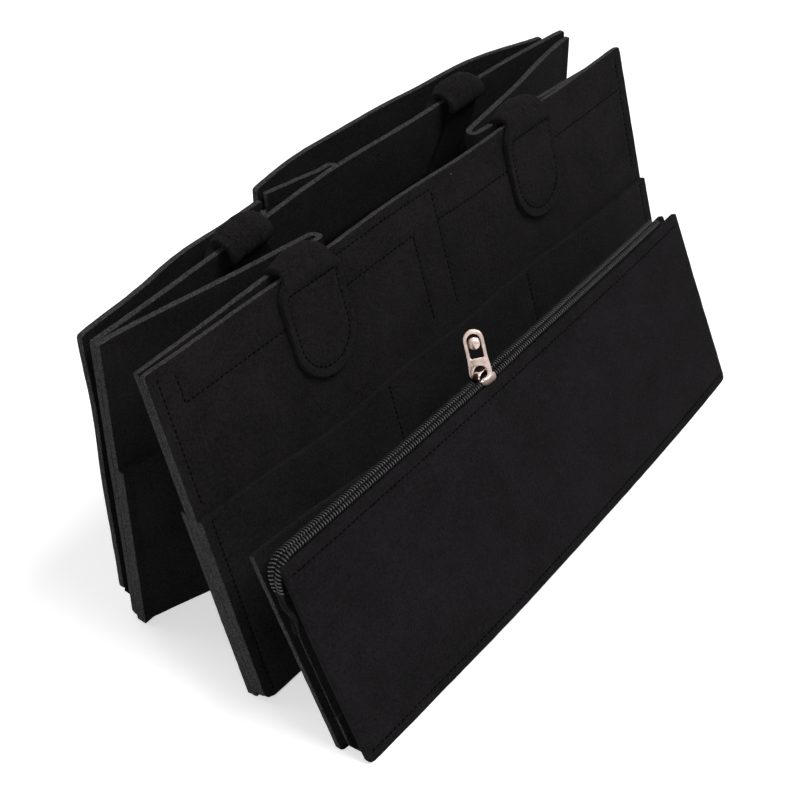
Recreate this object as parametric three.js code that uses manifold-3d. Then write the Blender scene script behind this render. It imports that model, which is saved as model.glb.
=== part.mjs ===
import * as THREE from 'three';
import Module from 'manifold-3d';
import { mergeVertices } from 'three/addons/utils/BufferGeometryUtils.js';

const wasm = await Module();
wasm.setup();

// Driving dimensions, in millimetres and degrees

// The felt caddy: two stiff panels standing like a tent, with folded sides between them
const WIDTH = 380;
const PANEL_HEIGHT = 183;
const FELT = 3;
const LINING = 2;
const SEWN_GAP = 0.3;
const FLOOR_SPREAD = 96.4;
const FRONT_LEAN = 12.3;
const REAR_LEAN = 6;
const SHEAR = 4;
const SEAM_ALLOWANCE = 7;

// The folded sides
const SIDE_HEIGHT = 176.4;
const SIDE_CLEARANCE = 0.5;
const FOLD_INSET = 124.5;
const FOLD_DEPTH = 52.4;
const FOLD_RADIUS = 3;
const HINGE_HEIGHT = 90;
const HINGE_SETBACK = 2.85;
const SKEW_SETBACK = 0.88;
const FOLD_SETBACK = 1.3;
const SIDE_POCKET_HEIGHT = 106;
const SIDE_POCKET_INSET = 13;

// The pockets sewn on the front and rear panels
const FRONT_POCKET_HEIGHT = 107;
const INNER_POCKET_TOP = 150;
const INNER_POCKET_BOTTOM = 40;
const INNER_POCKET_INSET = 35;
const INNER_POCKET_PARTING = 20;
const REAR_LINING_INSET = 25;
const REAR_POCKET_TOP = 178;
const REAR_POCKET_BOTTOM = 12;
const REAR_POCKET_PARTING = 6;
const REAR_LEFT_POCKET = {
  start: 3,
  width: 135,
  startDepth: 11,
  endDepth: 20,
  bulge: 6,
  leftFold: 33,
  rightFold: 13,
};
const REAR_RIGHT_POCKET = {
  width: 234,
  startDepth: 25,
  endDepth: 11,
  bulge: 9,
  leftFold: 44,
  rightFold: 44,
};

// The handles, each a felt strap sewn to two tabs and hanging inside
const HANDLE_SPACING = 179;
const HANDLE_SHIFT = { front: 3.5, rear: 0 };
const TAB_WIDTH = 43;
const TAB_DROP = 57;
const ROLL_WIDTH = 33;
const ROLL_THICKNESS = 8;
const STRAP_WIDTH = 24;
const STRAP_TOP_DEPTH = 5.7;
const STRAP_THICKNESS = 2.6;
const GRIP_THICKNESS = 4.4;
const GRIP_LENGTH = 116;
const GRIP_DROP = 80;
const GRIP_DEPTH = 5.8;

// The folding base, in two halves that stand like a tent inside and swing down as the caddy opens
const BASE_HALF_DEPTH = 127.4;
const BASE_HINGE_RISE = 1.8;
const BASE_HINGE_DEPTH = 4.8;
const BASE_SLOPE = 73;
const BASE_INSET = { hinge: 24, crease: 134 };
const BASE_DIAGONAL = 102;

// The loose zip pouch that stands in front
const POUCH_WIDTH = 354;
const POUCH_HEIGHT = 112;
const POUCH_THICKNESS = 12;
const POUCH_LEAN = 19.5;
const POUCH_TURN = 2.1;
const POUCH_LEFT = 0.3;
const POUCH_FORWARD = 67.7;
const POUCH_STRIP_HEIGHT = 22;
const POUCH_STRIP_INSET = 4;
const POUCH_GUSSET_FOLD = 14;

// The nylon coil zip with its metal slider and pull tab
const ZIP_START = -3;
const ZIP_LENGTH = 341;
const ZIP_ROW_WIDTH = 2.1;
const ZIP_ROW_HEIGHT = 3;
const ZIP_PARTING = 1.2;
const ZIP_TURNS = 96;
const ZIP_RIB_DEPTH = 0.5;
const TAPE_THICKNESS = 0.8;
const TAPE_HEIGHT = 18;
const TAIL_DROP = 30;
const SLIDER_AT = 161;
const SLIDER_LENGTH = 12;
const SLIDER_WIDTH = 7.6;
const SLIDER_PLATE = 1.4;
const SLIDER_LIFT = 0.4;
const CROWN_LENGTH = 8;
const CROWN_WIDTH = 3;
const CROWN_THICKNESS = 1.1;
const PULL_LENGTH = 27.5;
const PULL_WIDTH = 12;
const PULL_THICKNESS = 1.2;
const PULL_TURN = 25;

// Materials

const feltBlack = () => new THREE.MeshStandardMaterial({ color: 0x1f1d1f, roughness: 0.95, metalness: 0 });
const nylonBlack = () => new THREE.MeshStandardMaterial({ color: 0x141416, roughness: 0.45, metalness: 0 });
const tapeBlack = () => new THREE.MeshStandardMaterial({ color: 0x17171a, roughness: 0.85, metalness: 0 });
const roseNickel = () => new THREE.MeshStandardMaterial({ color: 0xc8afa5, roughness: 0.28, metalness: 1 });

// Geometry helpers

const radians = THREE.MathUtils.degToRad;
const mix = THREE.MathUtils.lerp;

/** The turn that lays a drawn outline across an axis: its extrusion runs along that axis. */
const OUTLINE_AXES = {
  x: [new THREE.Vector3(0, 1, 0), new THREE.Vector3(0, 0, 1), new THREE.Vector3(1, 0, 0)],
  y: [new THREE.Vector3(1, 0, 0), new THREE.Vector3(0, 0, 1), new THREE.Vector3(0, -1, 0)],
  z: [new THREE.Vector3(1, 0, 0), new THREE.Vector3(0, 1, 0), new THREE.Vector3(0, 0, 1)],
};

/** A slab of felt or metal: an outline across an axis, filled between two places on that axis. */
function slab(outline, axis, from, to, curveSegments = 8) {
  const shape = Array.isArray(outline)
    ? new THREE.Shape(outline.map(([a, b]) => new THREE.Vector2(a, b)))
    : outline;
  const options = { depth: to - from, bevelEnabled: false, curveSegments };
  const geometry = new THREE.ExtrudeGeometry(shape, options);
  geometry.applyMatrix4(new THREE.Matrix4().makeBasis(...OUTLINE_AXES[axis]));
  const start = axis === 'y' ? to : from;
  geometry.translate(axis === 'x' ? start : 0, axis === 'y' ? start : 0, axis === 'z' ? start : 0);
  return geometry;
}

/** A sheet of even thickness about a middle surface point(u, v), with u and v from 0 to 1. */
function sheet(point, columns, rows, thickness) {
  const step = 1e-3;
  const side = (u, v, sign) => {
    const du = point(u + step, v).sub(point(u - step, v));
    const dv = point(u, v + step).sub(point(u, v - step));
    return point(u, v).addScaledVector(du.cross(dv).normalize(), (sign * thickness) / 2);
  };
  const positions = [];
  for (const sign of [1, -1]) {
    for (let row = 0; row <= rows; row += 1) {
      for (let column = 0; column <= columns; column += 1) {
        positions.push(...side(column / columns, row / rows, sign).toArray());
      }
    }
  }
  const layer = (columns + 1) * (rows + 1);
  const at = (column, row, below) => row * (columns + 1) + column + (below ? layer : 0);
  const index = [];
  const quad = (a, b, c, d) => index.push(a, b, c, a, c, d);
  for (let row = 0; row < rows; row += 1) {
    for (let column = 0; column < columns; column += 1) {
      const corners = [[column, row], [column + 1, row], [column + 1, row + 1], [column, row + 1]];
      quad(...corners.map(([c, r]) => at(c, r, false)));
      quad(...corners.reverse().map(([c, r]) => at(c, r, true)));
    }
  }
  for (let column = 0; column < columns; column += 1) {
    const next = column + 1;
    quad(at(next, 0, false), at(column, 0, false), at(column, 0, true), at(next, 0, true));
    quad(at(column, rows, false), at(next, rows, false), at(next, rows, true), at(column, rows, true));
  }
  for (let row = 0; row < rows; row += 1) {
    const next = row + 1;
    quad(at(0, row, false), at(0, next, false), at(0, next, true), at(0, row, true));
    quad(at(columns, next, false), at(columns, row, false), at(columns, row, true), at(columns, next, true));
  }
  const geometry = new THREE.BufferGeometry();
  geometry.setAttribute('position', new THREE.Float32BufferAttribute(positions, 3));
  geometry.setIndex(index);
  return geometry;
}

/** A closed mesh as a solid that can be cut and joined. */
function solid(geometry) {
  const bare = geometry.clone();
  bare.deleteAttribute('normal');
  bare.deleteAttribute('uv');
  const merged = mergeVertices(bare, 1e-4);
  const vertProperties = new Float32Array(merged.attributes.position.array);
  const triVerts = new Uint32Array(merged.index.array);
  return new wasm.Manifold(new wasm.Mesh({ numProp: 3, vertProperties, triVerts }));
}

/** A solid turned back into a mesh geometry. */
function geometryOf(body) {
  const { vertProperties, triVerts } = body.getMesh();
  const geometry = new THREE.BufferGeometry();
  geometry.setAttribute('position', new THREE.Float32BufferAttribute(vertProperties, 3));
  geometry.setIndex(new THREE.Uint32BufferAttribute(triVerts, 1));
  return geometry;
}

/** Mirrors a geometry left to right about the middle of the caddy and keeps its faces outward. */
function mirrored(geometry) {
  const copy = geometry.clone().scale(-1, 1, 1).translate(WIDTH, 0, 0);
  const index = copy.index ? Array.from(copy.index.array) : [...copy.attributes.position.array.keys()];
  const corners = copy.index ? index.length : copy.attributes.position.count;
  const turned = [];
  for (let i = 0; i < corners; i += 3) {
    turned.push(index[i], index[i + 2], index[i + 1]);
  }
  copy.setIndex(turned);
  return copy;
}

function add(group, name, geometry, material) {
  const mesh = new THREE.Mesh(geometry, material);
  mesh.name = name;
  group.add(mesh);
  return mesh;
}

// Frames: in each panel's frame x runs along it, y into the caddy and z up its slope

const caddy = new THREE.Group();

const frontFrame = new THREE.Group();
frontFrame.rotation.x = -radians(FRONT_LEAN);
caddy.add(frontFrame);

const rearFrame = new THREE.Group();
rearFrame.position.set(SHEAR, FLOOR_SPREAD, 0);
rearFrame.rotation.x = radians(REAR_LEAN);
caddy.add(rearFrame);

const pouchFrame = new THREE.Group();
pouchFrame.position.set(POUCH_LEFT, -POUCH_FORWARD, 0);
pouchFrame.rotation.set(-radians(POUCH_LEAN), 0, radians(POUCH_TURN), 'ZXY');
caddy.add(pouchFrame);

/** How high up its own slope a point at a depth in a leaning piece has to be to clear the floor. */
const floorLine = (depth, lean) => depth * Math.tan(radians(lean));

/** An upright layer of a leaning panel, cut level where it stands on the floor. */
function standingLayer(near, far, height, from, to, lean) {
  const foot = (depth) => [depth, floorLine(depth, lean)];
  return slab([foot(near), foot(far), [far, height], [near, height]], 'x', from, to);
}

/** A flat layer on a panel with the given corners in the panel's own plane. */
const layer = (corners, near, far) => slab(corners, 'y', Math.min(near, far), Math.max(near, far));

/** A rectangle as four corners. */
const rectangle = (x0, z0, x1, z1) => [[x0, z0], [x1, z0], [x1, z1], [x0, z1]];

// The front panel with its pockets

const frontPocketNear = -SEWN_GAP - FELT;
const innerLayer = FELT + SEWN_GAP;
const middle = WIDTH / 2;

function buildFrontPanel() {
  add(frontFrame, 'front_panel', standingLayer(0, FELT, PANEL_HEIGHT, 0, WIDTH, FRONT_LEAN), feltBlack());
  add(
    frontFrame,
    'front_outer_pocket',
    standingLayer(frontPocketNear, -SEWN_GAP, FRONT_POCKET_HEIGHT, 0, WIDTH, FRONT_LEAN),
    feltBlack(),
  );
  const left = rectangle(
    INNER_POCKET_INSET,
    INNER_POCKET_BOTTOM,
    middle - INNER_POCKET_PARTING / 2,
    INNER_POCKET_TOP,
  );
  const pocket = layer(left, innerLayer, innerLayer + LINING);
  add(frontFrame, 'front_inner_left_pocket', pocket, feltBlack());
  add(frontFrame, 'front_inner_right_pocket', mirrored(pocket), feltBlack());
}

function buildRearPanel() {
  add(rearFrame, 'rear_panel', standingLayer(0, -FELT, PANEL_HEIGHT, 0, WIDTH, -REAR_LEAN), feltBlack());
  const corners = rectangle(
    REAR_LINING_INSET,
    INNER_POCKET_BOTTOM,
    WIDTH - REAR_LINING_INSET,
    INNER_POCKET_TOP,
  );
  add(rearFrame, 'rear_inner_pocket', layer(corners, -innerLayer, -innerLayer - LINING), feltBlack());
}

// The sides: each one felt, folded inward along its middle and sewn to both panels

const seamMiddle = FELT + SEWN_GAP + FELT / 2;

/** The y of the seam's middle at a height, on the leaning front or rear panel. */
function seamLine(height, atFront) {
  if (atFront) {
    return seamMiddle / Math.cos(radians(FRONT_LEAN)) + height * Math.tan(radians(FRONT_LEAN));
  }
  return FLOOR_SPREAD - seamMiddle / Math.cos(radians(REAR_LEAN)) - height * Math.tan(radians(REAR_LEAN));
}

/** How far the side starts from its seam at a height, so that it clears the panel as it opens. */
function seamSetback(height, atFront) {
  const skew = Math.abs(seamLine(height, atFront) - seamLine(HINGE_HEIGHT, atFront));
  return HINGE_SETBACK + SKEW_SETBACK * (height > HINGE_HEIGHT ? skew : 0);
}

/** A point on one half of a folded side: u runs from the seam to the fold, v up. */
function sidePoint(u, v, atFront, shear, { top, endSetback, outward }) {
  const height = mix(SIDE_CLEARANCE, top, v);
  const sign = atFront ? -1 : 1;
  const seam = new THREE.Vector3(SEAM_ALLOWANCE + (atFront ? 0 : shear), seamLine(height, atFront), height);
  const fold = new THREE.Vector3(FOLD_INSET + shear / 2, FOLD_DEPTH + sign * FOLD_RADIUS, height);
  const along = fold.clone().sub(seam);
  const reach = along.length();
  along.normalize();
  const across = new THREE.Vector3(-along.y, along.x, 0).multiplyScalar(-sign * outward);
  const distance = mix(seamSetback(height, atFront), reach - endSetback, u);
  return seam.addScaledVector(along, distance).add(across);
}

/** The pieces of a left side, for a rear panel that stands that much further right than the front. */
function sidePieces(shear) {
  const wall = { top: SIDE_HEIGHT, endSetback: FOLD_SETBACK, outward: 0 };
  const pocket = { top: SIDE_POCKET_HEIGHT, endSetback: SIDE_POCKET_INSET, outward: FELT + 3 * SEWN_GAP };
  const pieces = {};
  for (const [half, atFront] of [['front', true], ['rear', false]]) {
    pieces[`gusset_${half}_half`] = sheet((u, v) => sidePoint(u, v, atFront, shear, wall), 4, 10, FELT);
    pieces[`side_pocket_${half}_half`] = sheet((u, v) => sidePoint(u, v, atFront, shear, pocket), 4, 6, FELT);
  }
  const bend = new THREE.Shape();
  const inset = FOLD_INSET + shear / 2;
  bend.absarc(inset, FOLD_DEPTH, FOLD_RADIUS + FELT / 2, -Math.PI / 2, Math.PI / 2, false);
  bend.absarc(inset, FOLD_DEPTH, FOLD_RADIUS - FELT / 2, Math.PI / 2, -Math.PI / 2, true);
  pieces.gusset_fold = slab(bend, 'z', SIDE_CLEARANCE, SIDE_HEIGHT, 10);
  return pieces;
}

function buildSides() {
  for (const [name, geometry] of Object.entries(sidePieces(SHEAR))) {
    add(caddy, `left_${name}`, geometry, feltBlack());
  }
  for (const [name, geometry] of Object.entries(sidePieces(-SHEAR))) {
    add(caddy, `right_${name}`, mirrored(geometry), feltBlack());
  }
}

/** The two leaning walls: name, frame, lean and the sense of depth into the caddy. */
const walls = [
  ['front', frontFrame, FRONT_LEAN, 1],
  ['rear', rearFrame, REAR_LEAN, -1],
];

/** The felt of a side where it lies flat on the panel that it is sewn to. */
function buildSeams() {
  for (const [half, frame, lean, sign] of walls) {
    const atFront = half === 'front';
    const rise = floorLine(innerLayer + FELT, lean);
    const hinge = HINGE_HEIGHT / Math.cos(radians(lean));
    const top = SIDE_HEIGHT / Math.cos(radians(lean));
    const wedge = SEAM_ALLOWANCE + seamSetback(SIDE_HEIGHT, atFront) - HINGE_SETBACK;
    const corners = [[0, rise], [SEAM_ALLOWANCE, rise], [SEAM_ALLOWANCE, hinge], [wedge, top], [0, top]];
    const strip = layer(corners, sign * innerLayer, sign * (innerLayer + FELT));
    add(frame, `left_${half}_seam`, strip, feltBlack());
    add(frame, `right_${half}_seam`, mirrored(strip), feltBlack());
  }
}

// The handles

/** The outline of a strap's sewn tab seen from outside, with the narrower roll above it. */
function tabOutline(centre) {
  const half = TAB_WIDTH / 2;
  const roll = ROLL_WIDTH / 2;
  const tip = PANEL_HEIGHT - TAB_DROP;
  const shape = new THREE.Shape();
  shape.moveTo(centre + half, tip + half);
  shape.lineTo(centre + half, PANEL_HEIGHT - ROLL_THICKNESS * 1.5);
  shape.lineTo(centre + roll, PANEL_HEIGHT);
  shape.lineTo(centre + roll, PANEL_HEIGHT + 2 * ROLL_THICKNESS);
  shape.lineTo(centre - roll, PANEL_HEIGHT + 2 * ROLL_THICKNESS);
  shape.lineTo(centre - roll, PANEL_HEIGHT);
  shape.lineTo(centre - half, PANEL_HEIGHT - ROLL_THICKNESS * 1.5);
  shape.lineTo(centre - half, tip + half);
  shape.absarc(centre, tip + half, half, Math.PI, 2 * Math.PI, false);
  return shape;
}

/** The tab and roll seen from the end: up the outer face, over the panel's top and just inside. */
function tabProfile() {
  const inner = FELT / 2 + SEWN_GAP;
  const outer = inner + ROLL_THICKNESS;
  const tip = PANEL_HEIGHT - TAB_DROP;
  const shape = new THREE.Shape();
  shape.moveTo(-SEWN_GAP - FELT, tip);
  shape.lineTo(-SEWN_GAP, tip);
  shape.lineTo(-SEWN_GAP, PANEL_HEIGHT + SEWN_GAP);
  shape.lineTo(FELT + SEWN_GAP, PANEL_HEIGHT + SEWN_GAP);
  shape.lineTo(FELT / 2 + outer, PANEL_HEIGHT + SEWN_GAP);
  shape.absarc(FELT / 2, PANEL_HEIGHT + SEWN_GAP, outer, 0, Math.PI, false);
  shape.lineTo(-SEWN_GAP - FELT, PANEL_HEIGHT - ROLL_THICKNESS * 1.5);
  return shape;
}

/** The half of a strap between its roll and its grip, drawn in by the grip. */
function strapLeg(centre, sign) {
  const towards = centre < middle ? 1 : -1;
  const top = new THREE.Vector3(centre, sign * STRAP_TOP_DEPTH, PANEL_HEIGHT - SEWN_GAP);
  const gripEnd = middle - towards * (GRIP_LENGTH - STRAP_WIDTH) / 2;
  const gripTop = PANEL_HEIGHT - GRIP_DROP + STRAP_WIDTH / 2 + 2 * SEWN_GAP;
  const bottom = new THREE.Vector3(gripEnd, sign * (GRIP_DEPTH + GRIP_THICKNESS / 2), gripTop);
  const point = (u, v) => {
    const place = bottom.clone().lerp(top, v);
    place.x += (u - 0.5) * STRAP_WIDTH;
    return place;
  };
  return sheet(point, 1, 2, STRAP_THICKNESS);
}

/** The grip: the middle of the strap, with rounded ends. */
function gripOutline() {
  const half = GRIP_LENGTH / 2;
  const radius = STRAP_WIDTH / 2;
  const height = PANEL_HEIGHT - GRIP_DROP;
  const shape = new THREE.Shape();
  shape.moveTo(middle - half, height + radius);
  shape.lineTo(middle - half, height);
  shape.absarc(middle - half + radius, height, radius, Math.PI, 1.5 * Math.PI, false);
  shape.absarc(middle + half - radius, height, radius, 1.5 * Math.PI, 2 * Math.PI, false);
  shape.lineTo(middle + half, height + radius);
  return shape;
}

function buildHandles() {
  const left = middle - HANDLE_SPACING / 2;
  for (const [half, frame, , sign] of walls) {
    const place = new THREE.Group();
    place.position.x = HANDLE_SHIFT[half];
    frame.add(place);
    const profile = slab(tabProfile(), 'x', left - TAB_WIDTH, left + TAB_WIDTH);
    const outline = slab(tabOutline(left), 'y', -2 * ROLL_THICKNESS, 3 * ROLL_THICKNESS);
    const outside = geometryOf(solid(profile).intersect(solid(outline)));
    const tab = sign > 0 ? outside : mirrored(mirrored(outside).rotateZ(Math.PI).translate(WIDTH, 0, 0));
    add(place, `${half}_left_handle_tab`, sign > 0 ? tab : mirrored(tab), feltBlack());
    add(place, `${half}_right_handle_tab`, sign > 0 ? mirrored(tab) : tab, feltBlack());
    const leg = strapLeg(left, sign);
    add(place, `${half}_handle_left_leg`, leg, feltBlack());
    add(place, `${half}_handle_right_leg`, mirrored(leg), feltBlack());
    const grip = layer(gripOutline(), sign * GRIP_DEPTH, sign * (GRIP_DEPTH + GRIP_THICKNESS));
    add(place, `${half}_handle_grip`, grip, feltBlack());
  }
}

// The rear outside pockets: a bowed panel on folded ends and a bottom strip

/** How far a rear pocket's panel stands off the rear panel; it bulges least at the bottom. */
function pocketDepth(pocket, u, v) {
  const bulge = pocket.bulge * Math.sin(Math.PI * THREE.MathUtils.clamp(u, 0, 1)) * (0.4 + 0.6 * v);
  return mix(pocket.startDepth, pocket.endDepth, u) + bulge;
}

/** A felt strip folded once between the rear panel and a pocket, seen from above. */
function endFold(from, toward, fold, depth) {
  const inner = SEWN_GAP + FELT / 2;
  const outer = depth - SEWN_GAP - FELT / 2 - FOLD_RADIUS * 0.4;
  const tipDepth = (inner + outer) / 2;
  const tip = from + toward * fold;
  const spread = (outer - inner) / 2;
  const crotch = tip - toward * Math.min(fold * 0.75, (FELT / 2) * (fold / spread) + FELT / 2);
  const half = FELT / 2;
  const corners = [
    [from, outer + half],
    [tip, tipDepth + half],
    [tip + toward * half, tipDepth],
    [tip, tipDepth - half],
    [from, inner - half],
    [from, inner + half],
    [crotch, tipDepth],
    [from, outer - half],
  ];
  const outline = toward > 0 ? corners.reverse() : corners;
  return slab(outline, 'z', REAR_POCKET_BOTTOM + FELT, REAR_POCKET_TOP - FELT);
}

function buildRearPocket(name, start, pocket) {
  const end = start + pocket.width;
  const panel = (u, v) => new THREE.Vector3(
    mix(end, start, u),
    pocketDepth(pocket, 1 - u, v) + FELT / 2,
    mix(REAR_POCKET_BOTTOM, REAR_POCKET_TOP, v),
  );
  add(rearFrame, `${name}_panel`, sheet(panel, 12, 4, FELT), feltBlack());
  const outer = [];
  for (let step = 0; step <= 8; step += 1) {
    const u = step / 8;
    outer.push([mix(start, end, u), pocketDepth(pocket, u, 0) - SEWN_GAP]);
  }
  const bottom = [[end, SEWN_GAP], ...outer.reverse(), [start, SEWN_GAP]].reverse();
  const strip = slab(bottom, 'z', REAR_POCKET_BOTTOM, REAR_POCKET_BOTTOM + LINING);
  add(rearFrame, `${name}_bottom`, strip, feltBlack());
  const margin = FELT;
  add(
    rearFrame,
    `${name}_left_gusset`,
    endFold(start + margin, 1, pocket.leftFold, pocket.startDepth),
    feltBlack(),
  );
  add(
    rearFrame,
    `${name}_right_gusset`,
    endFold(end - margin, -1, pocket.rightFold, pocket.endDepth),
    feltBlack(),
  );
}

function buildRearPockets() {
  const { start, width } = REAR_LEFT_POCKET;
  buildRearPocket('rear_left_pocket', start, REAR_LEFT_POCKET);
  buildRearPocket('rear_right_pocket', start + width + REAR_POCKET_PARTING, REAR_RIGHT_POCKET);
}

// The base halves

/** Where a base half's hinge line lies, seen from the end. */
function baseHinge(atFront) {
  const lean = radians(atFront ? FRONT_LEAN : REAR_LEAN);
  const inside = (BASE_HINGE_DEPTH + BASE_HINGE_RISE * Math.sin(lean)) / Math.cos(lean);
  return new THREE.Vector3(0, atFront ? inside : FLOOR_SPREAD - inside, BASE_HINGE_RISE);
}

function buildBase() {
  const { hinge, crease } = BASE_INSET;
  const half = [[WIDTH - hinge, 0], [WIDTH - crease, BASE_DIAGONAL], [WIDTH - crease, BASE_HALF_DEPTH]];
  const corners = [...half, ...half.map(([x, z]) => [WIDTH - x, z]).reverse()];
  for (const [name, atFront] of [['front', true], ['rear', false]]) {
    const frame = new THREE.Group();
    frame.position.copy(baseHinge(atFront)).setX(atFront ? 0 : SHEAR);
    frame.rotation.x = radians(BASE_SLOPE - 90) * (atFront ? 1 : -1);
    caddy.add(frame);
    add(frame, `base_${name}_half`, layer(corners, -FELT / 2, FELT / 2), feltBlack());
  }
}

// The zip pouch

const pouchInside = POUCH_THICKNESS - FELT;
const pouchMiddle = POUCH_THICKNESS / 2;

function buildPouch() {
  const wall = (near, far) => standingLayer(near, far, POUCH_HEIGHT, 0, POUCH_WIDTH, POUCH_LEAN);
  add(pouchFrame, 'pouch_front_panel', wall(0, FELT), feltBlack());
  add(pouchFrame, 'pouch_rear_panel', wall(pouchInside, POUCH_THICKNESS), feltBlack());
  add(pouchFrame, 'pouch_bottom_strip', pouchStrip(), feltBlack());
  const gusset = pouchGusset();
  add(pouchFrame, 'pouch_left_gusset', gusset, feltBlack());
  const right = mirrored(gusset).translate(POUCH_WIDTH - WIDTH, 0, 0);
  add(pouchFrame, 'pouch_right_gusset', right, feltBlack());
}

/** The trough of felt that closes the pouch's bottom, with a flange up each panel. */
function pouchStrip() {
  const near = FELT + SEWN_GAP;
  const far = pouchInside - SEWN_GAP;
  const foot = (depth) => floorLine(depth, POUCH_LEAN);
  const wall = LINING;
  const corners = [
    [near, foot(near)],
    [far, foot(far)],
    [far, POUCH_STRIP_HEIGHT],
    [far - wall, POUCH_STRIP_HEIGHT],
    [far - wall, foot(far) + wall],
    [near + wall, foot(near + wall) + wall],
    [near + wall, POUCH_STRIP_HEIGHT],
    [near, POUCH_STRIP_HEIGHT],
  ];
  return slab(corners, 'x', POUCH_STRIP_INSET, POUCH_WIDTH - POUCH_STRIP_INSET);
}

/** The pouch's end, folded inward between the panels. */
function pouchGusset() {
  const near = FELT + SEWN_GAP;
  const far = pouchInside - SEWN_GAP;
  const wall = LINING / 2;
  const start = POUCH_STRIP_INSET;
  const corners = [
    [start, near],
    [start + POUCH_GUSSET_FOLD, pouchMiddle - wall],
    [start + POUCH_GUSSET_FOLD, pouchMiddle + wall],
    [start, far],
    [start, far - wall],
    [start + POUCH_GUSSET_FOLD - 2 * wall, pouchMiddle],
    [start, near + wall],
  ];
  const top = POUCH_HEIGHT - TAPE_HEIGHT - ZIP_ROW_HEIGHT;
  return slab(corners, 'z', POUCH_STRIP_HEIGHT + SEWN_GAP, top);
}

// The zip

const zipFloor = POUCH_HEIGHT - ZIP_ROW_HEIGHT / 2;
const rowNear = (front) => (front
  ? pouchMiddle - ZIP_PARTING / 2 - ZIP_ROW_WIDTH
  : pouchMiddle + ZIP_PARTING / 2);

/** One row of the coil: a bar whose top is ribbed by the turns. */
function zipRow(front) {
  const outline = [[ZIP_START, zipFloor]];
  const pitch = ZIP_LENGTH / ZIP_TURNS;
  outline.push([ZIP_START + ZIP_LENGTH, zipFloor]);
  for (let turn = ZIP_TURNS; turn > 0; turn -= 1) {
    const place = ZIP_START + turn * pitch;
    const crest = zipFloor + ZIP_ROW_HEIGHT;
    outline.push([place, crest - ZIP_RIB_DEPTH], [place - pitch / 2, crest]);
  }
  outline.push([ZIP_START, zipFloor + ZIP_ROW_HEIGHT - ZIP_RIB_DEPTH]);
  const near = rowNear(front);
  return slab(outline, 'y', near, near + ZIP_ROW_WIDTH);
}

function buildZip() {
  for (const [name, front] of [['front', true], ['rear', false]]) {
    add(pouchFrame, `zip_${name}_coil`, zipRow(front), nylonBlack());
    const near = front ? FELT + SEWN_GAP : pouchInside - SEWN_GAP - TAPE_THICKNESS;
    const end = Math.min(ZIP_START + ZIP_LENGTH, POUCH_WIDTH);
    const tape = rectangle(0, zipFloor - SEWN_GAP - TAPE_HEIGHT, end, zipFloor - SEWN_GAP);
    add(pouchFrame, `zip_${name}_tape`, layer(tape, near, near + TAPE_THICKNESS), tapeBlack());
  }
  add(pouchFrame, 'zip_tail', zipTail(), tapeBlack());
}

/** The coil's left end, turned down over the corner, with its loose tape below. */
function zipTail() {
  const start = ZIP_START - SEWN_GAP;
  const outer = ZIP_ROW_HEIGHT;
  const shape = new THREE.Shape();
  shape.moveTo(start, zipFloor);
  shape.lineTo(start, zipFloor + outer);
  shape.absarc(start, zipFloor, outer, Math.PI / 2, Math.PI, false);
  shape.lineTo(start - outer, zipFloor - TAIL_DROP);
  shape.lineTo(start - outer + TAPE_THICKNESS * 2, zipFloor - TAIL_DROP);
  shape.lineTo(start - outer + TAPE_THICKNESS * 2, zipFloor);
  return slab(shape, 'y', rowNear(true), rowNear(false) + ZIP_ROW_WIDTH);
}

const sliderFloor = zipFloor + ZIP_ROW_HEIGHT + SLIDER_LIFT;
const crownFloor = sliderFloor + SLIDER_PLATE;
const pullHeight = crownFloor + CROWN_THICKNESS;

/** The slider: plates above and below the coil, the wedge between its rows, and the crown on top. */
function buildSlider() {
  const block = (x, z0, z1, length, width) => solid(layer(
    rectangle(x - length / 2, z0, x + length / 2, z1),
    pouchMiddle - width / 2,
    pouchMiddle + width / 2,
  ));
  const wedgeFloor = zipFloor - SLIDER_LIFT - SLIDER_PLATE;
  const innerWidth = pouchInside - FELT - 2 * (TAPE_THICKNESS + 2 * SEWN_GAP);
  const crownRise = 3 * CROWN_THICKNESS;
  let body = block(SLIDER_AT, sliderFloor, crownFloor, SLIDER_LENGTH, SLIDER_WIDTH);
  body = body.add(block(SLIDER_AT, wedgeFloor, sliderFloor + 0.1, SLIDER_LENGTH / 2, ZIP_PARTING / 2));
  body = body.add(block(SLIDER_AT, wedgeFloor, wedgeFloor + SLIDER_PLATE, SLIDER_LENGTH, innerWidth));
  const crown = new THREE.Shape();
  const half = CROWN_LENGTH / 2;
  crown.moveTo(SLIDER_AT - half, crownFloor - 0.1);
  crown.lineTo(SLIDER_AT + half, crownFloor - 0.1);
  crown.lineTo(SLIDER_AT + half - CROWN_THICKNESS, crownFloor + crownRise);
  crown.lineTo(SLIDER_AT - half + CROWN_THICKNESS, crownFloor + crownRise);
  const near = pouchMiddle - CROWN_WIDTH / 2;
  body = body.add(solid(slab(crown, 'y', near, near + CROWN_WIDTH)));
  const hollow = half - 2 * CROWN_THICKNESS;
  const window = layer(
    rectangle(SLIDER_AT - hollow, crownFloor, SLIDER_AT + hollow, crownFloor + crownRise - CROWN_THICKNESS),
    near - CROWN_WIDTH,
    near + 2 * CROWN_WIDTH,
  );
  add(pouchFrame, 'zip_slider', geometryOf(body.subtract(solid(window))), roseNickel());
}

/** The pull tab: a flat plate with a long window, and a small one that the crown passes through. */
function pullOutline() {
  const half = PULL_WIDTH / 2;
  const bar = PULL_THICKNESS / 2;
  const top = PULL_LENGTH - bar;
  const corner = half * 0.6;
  const shape = new THREE.Shape();
  shape.absarc(corner - half, corner - bar, corner, Math.PI, 1.5 * Math.PI, false);
  shape.absarc(half - corner, corner - bar, corner, 1.5 * Math.PI, 2 * Math.PI, false);
  shape.lineTo(half, top - half);
  shape.absarc(0, top - half, half, 0, Math.PI, false);
  return shape;
}

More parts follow.
